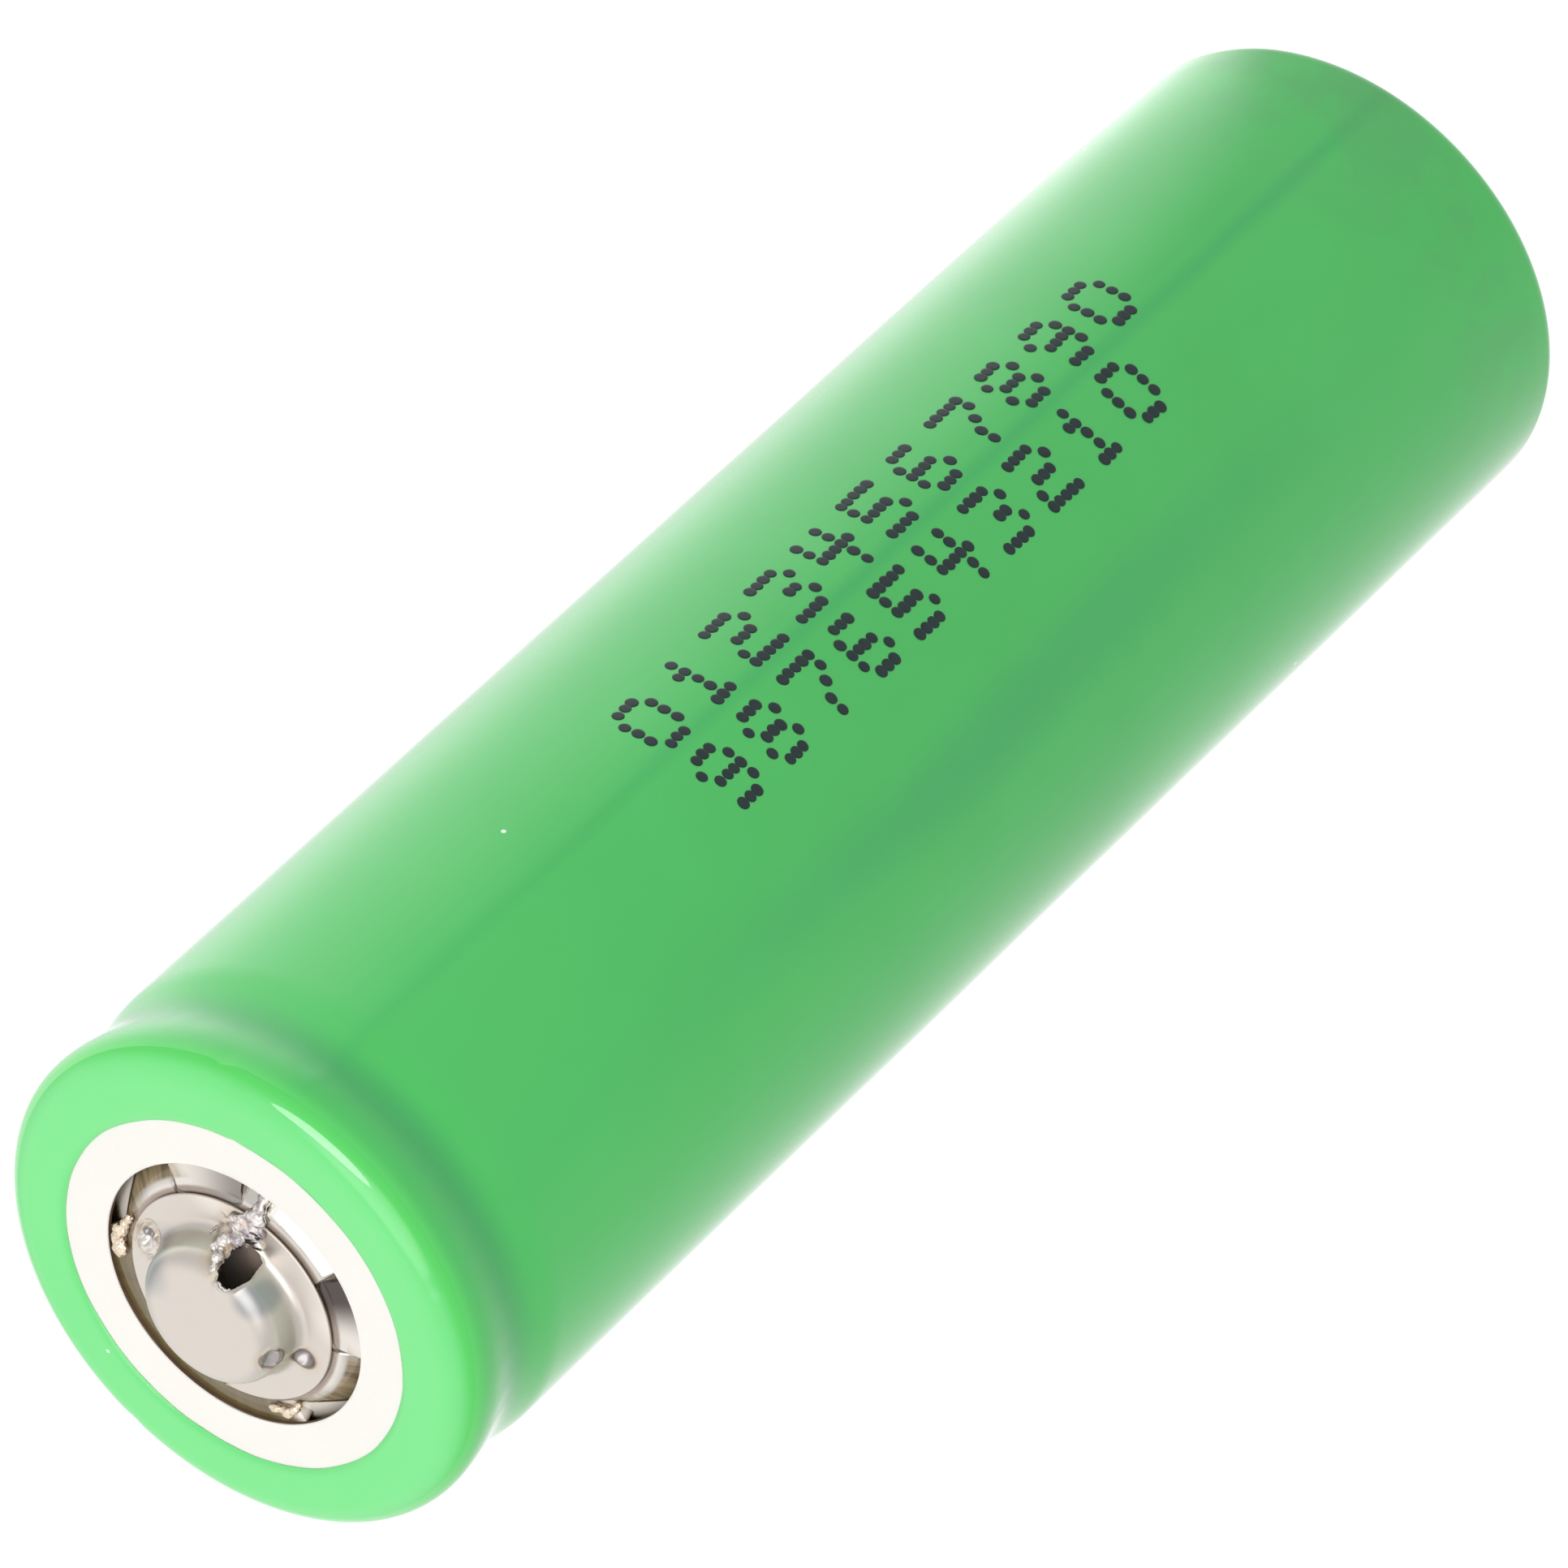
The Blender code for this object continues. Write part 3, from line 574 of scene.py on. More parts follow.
def cap_look():
    """Bright plate on the near legs; farther round, streaked olive and straw as painted shade and painted
    reflection of the shaded ring wall, with painted light and shade at two bent edges; dull, with painted brown
    shade, beside the button's flange; painted shade in the near windows.
    """
    look = Look("cap_nickel")
    cloud = look.noise(0.7, 3.0)
    radius, azimuth = look.radius(), look.azimuth()
    around = look.node("ShaderNodeCombineXYZ", {0: azimuth, 1: look.times(radius, 1.5)}).outputs[0]
    streaks = look.noise(7.0, 4.0, 0.6, vector=around)
    # Painted shade and painted reflection of the shaded ring wall: olive streaked with straw, darkest farthest
    # back
    olive = look.mix(look.span(streaks, 0.38, 0.62), (0.14, 0.105, 0.06), (0.36, 0.28, 0.17))
    olive = look.mix(look.span(streaks, 0.6, 0.68), olive, (0.66, 0.57, 0.43))
    darkest = look.mix(streaks, (0.06, 0.044, 0.018), (0.17, 0.125, 0.052))
    olive = look.mix(look.span(look.y, 1.8, 3.2), olive, darkest)
    beside = look.span(look.y, 2.5, 1.9)
    # Painted shade along each bent edge, and painted light on the cap past it
    for across, start in BENT_EDGES:
        past = look.vector("DOT_PRODUCT", look.position, across)
        olive = look.mix(look.times(look.near(past, start - 0.04, 0.09), beside), olive, (0.05, 0.035, 0.02))
        pale = look.times(look.span(past, start, start + 0.06), beside)
        olive = look.mix(pale, olive, (0.86, 0.80, 0.72), 0.9)
    look.colour = look.mix(cloud, (0.62, 0.58, 0.53), (0.72, 0.68, 0.63))
    # The olive painted shade covers the far side and an outer band on the near side
    far = look.span(look.y, -0.6, 1.2, 0.0, 0.96)
    outer = look.times(look.span(radius, 4.32, 4.44), look.span(look.y, -2.6, -1.6))
    olive_shade = look.math("MAXIMUM", far, outer)
    look.paint(olive_shade, olive)
    # Painted shade: brown under the edge of the button's flange
    flange_shade = look.span(radius, 4.16, 4.05)
    look.paint(flange_shade, look.mix(cloud, (0.22, 0.17, 0.14), (0.36, 0.29, 0.24)))
    # Painted shade across the left near window, darkest towards its far end
    left_window_shade = look.times(look.span(azimuth, -143.0, -123.0), look.span(azimuth, -112.3, -113.2, 0.0, 0.93))
    look.paint(left_window_shade, (0.05, 0.035, 0.03))
    # Painted shade across the right near window, darker towards azimuth 299
    right_window_shade = look.times(look.span(azimuth, -30.0, -60.0), look.span(azimuth, -61.4, -60.8))
    look.paint(right_window_shade, (0.26, 0.235, 0.215))
    # Painted shade: a dark line at the far end of each near window
    for end in (-151.2, -22.8):
        look.paint(look.near(azimuth, end, 1.5), (0.03, 0.02, 0.015), 0.92)
    shine = look.span(look.math("MAXIMUM", olive_shade, flange_shade), 0.2, 0.9, 1.0, 0.12)
    return look.finish(cloud, (0.12, 0.24), look.bump(streaks, 0.01), Metallic=shine)


def weld_look():
    """Once-molten steel: bright beads, sooty hollows, straw tint."""
    look = Look("melted_steel", Metallic=1.0)
    cloud = look.noise(0.35, 4.0, 0.6)
    look.colour = look.mix(look.span(cloud, 0.35, 0.6), (0.40, 0.35, 0.36), (0.84, 0.79, 0.76))
    straw = look.math("MAXIMUM", look.span(look.noise(0.6, 2.0), 0.55, 0.75), look.span(look.y, -1.0, 1.0))
    look.paint(straw, (0.80, 0.62, 0.40), 0.6)
    return look.finish(cloud, (0.34, 0.12), look.bump(look.noise(0.16, 4.0, 0.6), 0.03))


def drawn_steel_look():
    """Nickel-plated steel, drawn: turned marks on the base, and fine lines down the side."""
    look = Look("nickel_plated_steel", Metallic=1.0)
    parts = (look.radius(), 9.0), (look.azimuth(), 0.02), (look.height, 0.05)
    turned = look.node("ShaderNodeCombineXYZ", {i: look.times(*part) for i, part in enumerate(parts)})
    marks = look.noise(1.0, 4.0, 0.6, vector=turned.outputs[0])
    scratch = look.noise(0.3, 2.0, stretch=(8.0, 0.3, 1.0))
    look.colour = look.mix(look.noise(2.5, 4.0), (0.60, 0.59, 0.565), (0.70, 0.69, 0.66))
    look.paint(look.span(scratch, 0.68, 0.76, 0.0, 0.3), (0.42, 0.41, 0.4))
    return look.finish(marks, (0.22, 0.38), look.bump(marks, 0.002))


def metal_look(name, colour, rough=(0.22, 0.4), stretch=(6.0, 0.3, 1.0)):
    """Rolled foil or plate, with its rolling lines along the longer stretch."""
    look = Look(name, Metallic=1.0)
    lines = look.noise(0.5, 4.0, 0.6, stretch=stretch)
    cloud = look.noise(2.0, 3.0)
    look.colour = look.mix(look.math("ADD", lines, cloud), shade(colour, 0.82), colour, 0.5)
    return look.finish(cloud, rough, look.bump(lines, 0.003))


def plastic_look(name, colour, rough=(0.35, 0.55), grain_size=0.25, depth=0.006, coat=0.0):
    """Moulded plastic or film: faint flow marks, a fine grain."""
    look = Look(name, Coat_Weight=coat, Coat_Roughness=0.08)
    flow = look.noise(2.4, 3.0, stretch=(1, 1, 0.5))
    fine = look.noise(grain_size, 4.0, 0.6)
    look.colour = look.mix(flow, shade(colour, 0.86), colour)
    return look.finish(fine, rough, look.bump(fine, depth))


def coating_look(name, colour, speck_colour):
    """An electrode's pressed powder on its foil."""
    look = Look(name)
    powder = look.noise(0.05, 3.0, 0.7)
    look.colour = look.mix(look.noise(3.0, 3.0), shade(colour, 0.75), colour)
    look.paint(look.span(powder, 0.6, 0.75, 0.0, 0.5), speck_colour)
    return look.finish(powder, (0.65, 0.9), look.bump(powder, 0.01))


def ink_look():
    """Near-black printing ink, a little uneven."""
    look = Look("print_ink", Specular_IOR_Level=0.2)
    cloud = look.noise(0.3, 4.0, 0.6)
    look.colour = look.mix(cloud, (0.005, 0.013, 0.013), (0.015, 0.03, 0.03))
    return look.finish(cloud, (0.3, 0.5), look.bump(cloud, 0.004))


# The sleeve, the print and the ring


def sleeve_profile():
    """Down the outside: the fold over the ring, the rim, the bead groove, the side, the fold over the base."""
    groove = []
    for height in np.linspace(BODY_TOP - TOP_FILLET, 59.6, 30):
        reach_out = GROOVE_ABOVE if height > GROOVE_HEIGHT else GROOVE_BELOW
        share = min(1.0, abs(height - GROOVE_HEIGHT) / reach_out)
        wide = SLEEVE_RADIUS + (RIM_RADIUS - SLEEVE_RADIUS) * min(1.0, max(0.0, (height - 61.0) / 2.5))
        groove.append((wide - GROOVE_DEPTH * 0.5 * (1 + math.cos(math.pi * share)), height))
    side_base = (SLEEVE_RADIUS, BASE_FILLET)
    return [
        (TOP_FOLD_RADIUS - 0.04, BODY_TOP - 0.13),
        (TOP_FOLD_RADIUS + 0.06, BODY_TOP - 0.05),
        *line((TOP_FOLD_RADIUS + 0.2, BODY_TOP), (RIM_RADIUS - TOP_FILLET, BODY_TOP), 8),
        *arc((RIM_RADIUS - TOP_FILLET, BODY_TOP - TOP_FILLET), TOP_FILLET, 90, 0, 14)[:-1],
        *groove[:-1],
        *line(groove[-1], side_base, 60),
        *arc((SLEEVE_RADIUS - BASE_FILLET, BASE_FILLET), BASE_FILLET, 0, -90, 10)[:-1],
        *line((SLEEVE_RADIUS - BASE_FILLET, 0.0), (BASE_FOLD_RADIUS, 0.0), 8),
        (BASE_FOLD_RADIUS, 0.0),
    ]


# Dents in the rim: azimuth, height and depth
RIM_DENTS = ((-58, 64.9, 0.05), (-52, 64.3, 0.04), (-118, 64.7, 0.03), (95, 64.8, 0.05))


def make_sleeve():
    """A thin tube shrunk round the can. It keeps the two creases of the flat tube it was cut from."""
    fine = np.radians(np.linspace(-1.6, 1.6, 15))
    columns = [even_columns(320), *(math.radians(side % 360) + fine for side in CREASE_AZIMUTHS)]
    columns = np.unique(np.round(np.concatenate(columns), 4))

    def lift(angle, run, points):
        height, radius = points[:, 2], radius_of(points)
        on_side = np.clip((BODY_TOP - 0.6 - height) / 1.5, 0, 1) * np.clip(height / 1.5, 0, 1)
        total = 0.014 * grain(points, 7.0, 1.0) * on_side
        for side in CREASE_AZIMUTHS:
            total += 0.005 * bell(angle_from(angle, side) * SLEEVE_RADIUS, 0.3) * on_side
        puckers = np.sin(46 * angle + 5 * grain(points, 3.0, 7.0, 1))
        total += 0.004 * puckers * bell(height - 62.9, 0.6)
        at_base = bell(height, 0.25) * np.clip((8.3 - radius) / 1.6, 0, 1)
        pleats = np.sin(58 * angle + 6 * grain(points, 2.0, 9.0, 1))
        total -= 0.028 * (1 + pleats) * at_base
        at_top = bell(height - BODY_TOP, 0.2) * np.clip((8.0 - radius) / 1.3, 0, 1)
        total += 0.012 * grain(points, 2.5, 4.0) * at_top
        for azimuth, level, depth in RIM_DENTS:
            aside = angle_from(angle, azimuth) * RIM_RADIUS
            total -= depth * bell(np.hypot(aside, height - level), 0.28)
        return total

    def edge(angle, run):
        at_top = 0.035 * round_grain(angle, 0.35, 2.0) * bell(run, 0.3)
        return at_top + 0.12 * round_grain(angle, 0.2, 3.0) * bell(run.max() - run, 0.5)

    mesh = lathe(sleeve_profile(), columns, wall=SLEEVE_WALL, lift=lift, edge=edge)
    return finished("sleeve", mesh, sleeve_look(), ["shrink_sleeve"], sharp=45)


# Digits for a dot printer: five lines of dots, from the top of the digit
DIGITS = {
    "0": "01110 10001 10001 10001 01110",
    "1": "00100 01100 00100 00100 01110",
    "2": "11110 00001 01110 10000 11111",
    "3": "11110 00001 00110 00001 11110",
    "4": "10010 10010 11111 00010 00010",
    "5": "11111 10000 11110 00001 11110",
    "6": "01110 10000 11110 10001 01110",
    "7": "11111 00001 00010 00100 00100",
    "8": "01110 10001 01110 10001 01110",
    "9": "01110 10001 01111 00001 01110",
}
# Each row's digits, the height of its first column of dots, and its azimuth there
PRINT_ROWS = (("01234567890", 43.8, -61.6), ("9876543210", 43.8, -81.1))
PRINT_DRIFT = -0.066  # degrees of azimuth per mm of height
CHARACTER_PITCH = 2.68
DOT_PITCH_ALONG = 0.38
DOT_PITCH_ROUND = 3.24  # degrees
DOT_RADIUS = 0.215
INK_THICKNESS = 0.012
INK_RADIUS = SLEEVE_RADIUS + 0.012


def add_dot(shape, azimuth, height, size):
    """A dot of ink on the sleeve, domed in steps."""
    sides, stretch = 14, 1.08
    rings = []
    for share, rise in ((1.0, 0.002), (0.93, 0.8 * INK_THICKNESS), (0.6, INK_THICKNESS)):
        ring = []
        for side in range(sides):
            angle = 2 * math.pi * side / sides
            round_by = math.degrees(share * size * stretch * math.sin(angle) / SLEEVE_RADIUS)
            up_by = share * size * math.cos(angle)
            ring.append(shape.verts.new(place(azimuth + round_by, INK_RADIUS + rise, height + up_by)))
        rings.append(ring)
    for outer, inner in zip(rings, rings[1:]):
        for side in range(sides):
            following = (side + 1) % sides
            shape.faces.new((outer[side], inner[side], inner[following], outer[following]))
    shape.faces.new(rings[-1][::-1])


def make_print():
    """Two rows of counting digits in dots of ink, read from the button towards the base."""
    shape = bmesh.new()
    for text, start, azimuth in PRINT_ROWS:
        for place_in_row, character in enumerate(text):
            for row, dots in enumerate(DIGITS[character].split()):
                for column, dot in enumerate(dots):
                    if dot == "0":
                        continue
                    height = start - place_in_row * CHARACTER_PITCH - column * DOT_PITCH_ALONG
                    height += rng.normal(0, 0.012)
                    turn = azimuth + PRINT_DRIFT * (height - start) + (2 - row) * DOT_PITCH_ROUND
                    turn += rng.normal(0, 0.07)
                    add_dot(shape, turn, height, DOT_RADIUS * rng.uniform(0.93, 1.06))
    bmesh.ops.recalc_face_normals(shape, faces=shape.faces)
    finished("ink_digits", mesh_from(shape, "print"), ink_look(), sharp=60)


def make_ring():
    """Pressed paper. Its fibres leave the hole slightly out of round."""
    inner, base, chamfer = RING_HOLE_RADIUS, low("insulator_ring"), 0.035
    hole_wall_run = 7.0
    profile = [
        *line((inner + chamfer, RING_TOP), (RING_RADIUS - chamfer, RING_TOP), 16),
        (RING_RADIUS - chamfer, RING_TOP),
        (RING_RADIUS, RING_TOP - chamfer),
        (RING_RADIUS, base + chamfer),
        (RING_RADIUS - chamfer, base),
        (inner + chamfer, base),
        (inner, base + chamfer),
        (inner, RING_TOP - chamfer),
    ]

    def edge(angle, run):
        near_hole = np.clip(1 - run / 0.9, 0, 1) + (run > hole_wall_run)
        fibres = 0.03 * round_grain(angle, 0.5, 5.0) + 0.01 * round_grain(angle, 0.05, 6.0)
        return fibres * np.clip(near_hole, 0, 1)

    def lift(angle, run, points):
        return 0.006 * grain(points, 1.5, 11.0)

    mesh = lathe(profile, even_columns(288), ring=True, edge=edge, lift=lift)
    finished("paper_ring", mesh, paper_look(), ["insulator_ring"])


# The button, the cap and the welds


def button_profile():
    """Flat top, wide shoulder, sloping side, and a flange that falls a little to its rounded rim."""
    flat_radius, shoulder, lean, rim = 1.83, 0.8, 12, 0.06
    turn = arc((flat_radius, BUTTON_TOP - shoulder), shoulder, 90, lean, 18)
    edge_top = BODY_TOP - 0.01
    foot_radius = turn[-1][0] + (turn[-1][1] - BODY_TOP) * math.tan(math.radians(lean))
    outermost = (FLANGE_RADIUS - rim, edge_top)
    foot_turn = rounded([turn[-1], (foot_radius, BODY_TOP + 0.05), outermost], 0.3, 12)[1:-1]
    return [
        *line((0.0, BUTTON_TOP), turn[0], 28),
        *turn,
        *line(turn[-1], foot_turn[0], 12)[1:],
        *foot_turn,
        *line(foot_turn[-1], outermost, 20)[1:],
        *arc((FLANGE_RADIUS - rim, edge_top - rim), rim, 90, 0, 6),
    ]


def make_button():
    """A pressed hat of nickel-plated steel, with the hole that the welding burnt through its side."""
    profile = button_profile()
    flat = np.array(profile)
    run_at = runs(flat)

    def run_where(radius, height):
        """The run of the profile point nearest to this radius and height."""
        return run_at[np.argmin(np.hypot(flat[:, 0] - radius, flat[:, 1] - height))]

    burn_run = (run_where(2.08, BODY_TOP + 1.48) + run_where(2.97, BODY_TOP + 0.04)) / 2

    def from_burn(angle, run):
        """Distance from the outline of the burn, below 0 inside it."""
        aside = angle_from(angle, BURN_AZIMUTH) * BURN_RADIUS
        along = run - burn_run
        turn = np.arctan2(along, aside)
        molten = np.cos(turn / 2 - 0.2) ** 2
        ragged = molten * (0.03 * np.sin(11 * turn) + 0.02 * np.sin(19 * turn + 2.0))
        ragged += 0.022 * np.sin(5 * turn + 1.0)
        across, up = np.abs(aside) / BURN_HALF_WIDTH, np.abs(along) / BURN_HALF_HEIGHT
        share = (across ** BURN_POWER + up ** BURN_POWER + 1e-9) ** (1 / BURN_POWER)
        return (share - 1) * 0.55 + ragged

    def lift(angle, run, points):
        height, radius = points[:, 2] - BODY_TOP, radius_of(points)
        on_flange = height < 0.3
        total = 0.0025 * grain(points, 1.2, 21.0)

        def aside_from(azimuth, at_radius):
            x, y, _ = place(azimuth, at_radius, 0)
            return np.hypot(points[:, 0] - x, points[:, 1] - y)

        pit = aside_from(*PIT)
        total += 0.06 * bell(pit - 0.4, 0.07) - 0.2 * bell(pit, 0.27) + 0.07 * bell(aside_from(190, 3.05), 0.12)
        around = angle_from(angle, DIMPLE_AZIMUTH) * radius
        along = run - run_where(2.45, BODY_TOP + 1.15)
        dimple = np.hypot(around / 0.5, along / 0.26)
        total += 0.05 * bell(dimple - 1.1, 0.16) - 0.2 * bell(dimple, 0.8)
        crumple = grain(points, 0.28, 31.0, 3)
        across = angle_from(angle, SCAR[0]) * SCAR[1]
        scar = np.hypot(across / 0.72, (radius - SCAR[1]) / 0.42)
        total += on_flange * (bell(scar, 0.95) * (0.04 + 0.2 * crumple) - 0.06 * bell(scar - 1.1, 0.15))
        total -= on_flange * 0.2 * bell(aside_from(14, 3.35), 0.14)
        notch = aside_from(117, 3.82)
        total += 0.05 * bell(notch - 0.18, 0.08) - 0.12 * bell(notch, 0.14)
        off_burn = from_burn(angle, run)
        molten = np.clip(angle_from(angle, BURN_AZIMUTH) / 0.15, 0, 1)
        upper_side = np.clip((burn_run - run) / 0.5, 0, 1)
        lip = bell(off_burn, 0.07) * (0.05 + 0.03 * crumple) * (1 + 0.9 * upper_side)
        total += lip + molten * bell(off_burn, 0.3) * (0.06 + 0.14 * crumple)
        total += 0.07 * crumple * bell(aside_from(299, 3.4), 0.45) * on_flange
        total *= np.clip((FLANGE_RADIUS + 0.02 - radius) / 0.04, 0, 1)
        return total

    mesh = lathe(profile, even_columns(400), wall=BUTTON_WALL, opening=from_burn, lift=lift)
    finished("button_hat", mesh, nickel_look(), ["button_terminal"])


def make_cap():
    """The crimped cap under the button: four sloping legs, and between them tongues that stay nearly level."""
    wall = 0.3
    flange_top = low("positive_cap") + wall
    disc, slope_end, tongue_start, tongue_end = 4.15, 5.4, 3.85, 5.0
    corners = [(0.0, CAP_TOP), (disc, CAP_TOP), (slope_end, flange_top), (STACK_RADIUS, flange_top)]
    top_turn = rounded(corners[:3], 0.2, 8)[1:-1]
    foot_turn = rounded(corners[1:], 0.2, 6)[1:-1]
    profile = [
        *line(corners[0], (3.6, CAP_TOP), 12),
        *line((3.6, CAP_TOP), top_turn[0], 12),
        *top_turn,
        *line(top_turn[-1], foot_turn[0], 20)[1:],
        *foot_turn,
        *line(foot_turn[-1], corners[3], 10)[1:],
        corners[3],
    ]
    flat = np.array(profile)
    start, end = (float(np.interp(r, flat[:, 0], runs(flat))) for r in (tongue_start, tongue_end))
    half_width, corner = math.radians(19) * TONGUE_RADIUS, 0.4

    def off_tongue(angle, run):
        """Distance from the nearest tongue's rounded outline, below 0 inside it."""
        found = np.full(len(angle), 9.0)
        for azimuth in (*WINDOW_AZIMUTHS, *FAR_LEVEL_AZIMUTHS):
            aside = np.abs(angle_from(angle, azimuth)) * TONGUE_RADIUS - (half_width - corner)
            along = np.abs(run - (start + end) / 2) - ((end - start) / 2 - corner)
            outside = np.hypot(np.maximum(aside, 0), np.maximum(along, 0))
            found = np.minimum(found, outside + np.minimum(np.maximum(aside, along), 0) - corner)
        return found

    def lift(angle, run, points):
        off = off_tongue(angle, run)
        inside = np.clip(-off / 0.05, 0, 1)
        fallen = CAP_TOP - points[:, 2]
        level = (fallen - 0.1 * np.clip((run - start) / 0.3, 0, 1)) * np.clip((end - run) / 0.1, 0, 1)
        scored = 0.09 * bell(off - 0.03, 0.045)
        return 0.004 * grain(points, 1.5, 51.0) + inside * np.clip(level, -0.1, 0.7) - scored

    mesh = lathe(profile, even_columns(540), wall=wall, lift=lift)
    finished("cap_plate", mesh, cap_look(), ["positive_cap"])


# Lumps of each weld: azimuth, radius, rise above the flange, and its radial, sideways and upward radii
FRONT_WELD = (
    (295, 2.38, 1.24, (0.2, 0.2, 0.22)),
    (298, 2.56, 0.92, (0.24, 0.24, 0.28)),
    (304, 2.68, 0.66, (0.16, 0.16, 0.24)),
    (300, 2.86, 0.46, (0.32, 0.26, 0.3)),
    (293, 3.0, 0.3, (0.32, 0.28, 0.28)),
    (284, 3.12, 0.06, (0.22, 0.4, 0.16)),
    (291, 3.3, 0.1, (0.42, 0.55, 0.2)),
    (298, 3.45, 0.06, (0.36, 0.36, 0.16)),
    (289, 3.65, 0.06, (0.42, 0.6, 0.18)),
    (288.5, 4.0, 0.0, (0.36, 0.42, 0.2)),
    (288.5, 4.4, -0.1, (0.4, 0.26, 0.2)),
    (289, 4.75, -0.3, (0.3, 0.24, 0.2)),
    (311, 2.95, 0.3, (0.06, 0.06, 0.3)),
    (271, 2.1, 1.36, (0.07, 0.22, 0.1)),
    (280, 2.02, 1.45, (0.07, 0.26, 0.09)),
    (288, 2.06, 1.42, (0.09, 0.2, 0.1)),
    (269.5, 2.4, 1.12, (0.12, 0.07, 0.2)),
)
RIGHT_SPATTER = (
    (36, 4.38, -0.02, (0.3, 0.36, 0.22)),
    (31, 4.5, -0.1, (0.3, 0.34, 0.2)),
    (26, 4.42, -0.08, (0.32, 0.28, 0.19)),
    (21, 4.3, -0.08, (0.2, 0.26, 0.17)),
    (16, 4.18, -0.08, (0.18, 0.2, 0.16)),
)
LEFT_SPATTER = (
    (147, 4.25, -0.06, (0.18, 0.32, 0.17)),
    (152, 4.42, -0.1, (0.26, 0.28, 0.18)),
    (157, 4.36, -0.1, (0.2, 0.22, 0.17)),
    (161, 4.22, -0.1, (0.14, 0.14, 0.14)),
)


def make_weld(name, node, lumps, seed, rough):
    """Lumps of once-molten metal run together, then crumpled."""
    shape = bmesh.new()
    for azimuth, radius, rise, radii in lumps:
        matrix = (
            Matrix.Translation(place(azimuth, radius, BODY_TOP + rise))
            @ Matrix.Rotation(math.radians(azimuth), 4, "Z")
            @ Matrix.Diagonal((*radii, 1.0))
        )
        bmesh.ops.create_icosphere(shape, subdivisions=3, radius=1.0, matrix=matrix)
    mesh = evaluated(mesh_from(shape, name), "REMESH", mode="VOXEL", voxel_size=0.03)
    mesh = evaluated(mesh, "SMOOTH", factor=0.6, iterations=3)
    normals = np.array([v.normal for v in mesh.vertices])
    points = np.array([v.co for v in mesh.vertices])
    crumple = 0.05 * grain(points, 0.34, seed, 3) - 0.04 * np.abs(grain(points, 0.26, seed + 5, 2))
    mesh.vertices.foreach_set("co", (points + rough * normals * crumple[:, None]).ravel())
    finished(name, mesh, WELD_STEEL, [node], sharp=70)


# The can and what it holds


def make_can():
    """A deep-drawn can, crimped over the gasket, with two weld dimples under its base."""
    wall, fillet, base_fillet, mouth, disc_radius, step = 0.25, 1.0, 0.8, 6.1, 6.2, 0.1
    base = CAN_BASE + step
    dips = (
        (0.0, 63.35), (0.04, 63.1), (0.5, 62.55), (0.95, 62.15),
        (0.98, 61.85), (0.5, 61.15), (0.06, 60.45), (0.0, 60.2),
    )
    bead = [(CAN_RADIUS - dip, height) for dip, height in dips]
    profile = [
        *line((mouth, CAN_TOP), (CAN_RADIUS - fillet, CAN_TOP), 6),
        *arc((CAN_RADIUS - fillet, CAN_TOP - fillet), fillet, 90, 0, 10),
        *smooth_through(bead, 5),
        *line((CAN_RADIUS, 59.0), (CAN_RADIUS, base + base_fillet), 24),
        *arc((CAN_RADIUS - base_fillet, base + base_fillet), base_fillet, 0, -90, 10),
        *line((7.6, base), (disc_radius + step, base), 4),
        (disc_radius + step, base),
        (disc_radius + 0.6 * step, base - 0.3 * step),
        (disc_radius + 0.3 * step, base - 0.85 * step),
        (disc_radius, CAN_BASE),
        *line((disc_radius - 0.1, CAN_BASE), (0.0, CAN_BASE), 40),
        (0.0, CAN_BASE),
    ]

    def lift(angle, run, points):
        on_base = points[:, 2] < CAN_BASE + 0.02
        total = 0.004 * grain(points, 2.5, 61.0)
        for aside in (-1.3, 1.3):
            spot = np.hypot(points[:, 0] - aside, points[:, 1] - 0.4)
            total -= 0.05 * bell(spot, 0.45) * on_base
        return total

    mesh = lathe(profile, even_columns(256), wall=wall, lift=lift)
    finished("can_shell", mesh, drawn_steel_look(), ["steel_can"])


def with_sides(outline, corner):
    """A closed outline of (radius, height) corners, with each corner rounded and its longer sides split."""
    around = [*outline, outline[0], outline[1]]
    found = []
    for before, at, after in zip(around, around[1:], around[2:]):
        turn = rounded([before, at, after], corner, 3)[1:-1]
        if found:
            found += line(found[-1], turn[0], 6)[1:]
        found += turn
    return found


def make_ring_piece(name, node, look, outline, corner, columns, lift):
    """A ring turned from its closed outline."""
    mesh = lathe(with_sides(outline, corner), even_columns(columns), ring=True, lift=lift)
    finished(name, mesh, look, [node])


def make_gasket():
    """A plastic cup round the stack, its lip folded in over the cap by the crimp."""
    outer, upper, lower, bore = reach("sealing_gasket"), top("sealing_gasket"), low("sealing_gasket"), 6.9
    seat, lip_radius, lip_base = lower + 0.3, 5.9, upper - 0.35
    outline = [
        (lip_radius, upper), (outer - 0.65, upper), (outer, upper - 0.65), (outer, lower + 0.42),
        (outer - 0.42, lower), (bore, lower), (bore, seat), (STACK_RADIUS + 0.05, seat),
        (STACK_RADIUS + 0.05, lip_base), (lip_radius, lip_base),
    ]

    def lift(angle, run, points):
        on_lip = (points[:, 2] > upper - 0.05) & (radius_of(points) < 7.4)
        return 0.008 * grain(points, 1.2, 71.0) + 0.015 * np.sin(36 * angle) * on_lip

    look = plastic_look("gasket_plastic", (0.80, 0.80, 0.77), (0.38, 0.55), 0.3, 0.004)
    make_ring_piece("gasket_cup", "sealing_gasket", look, outline, 0.09, 144, lift)


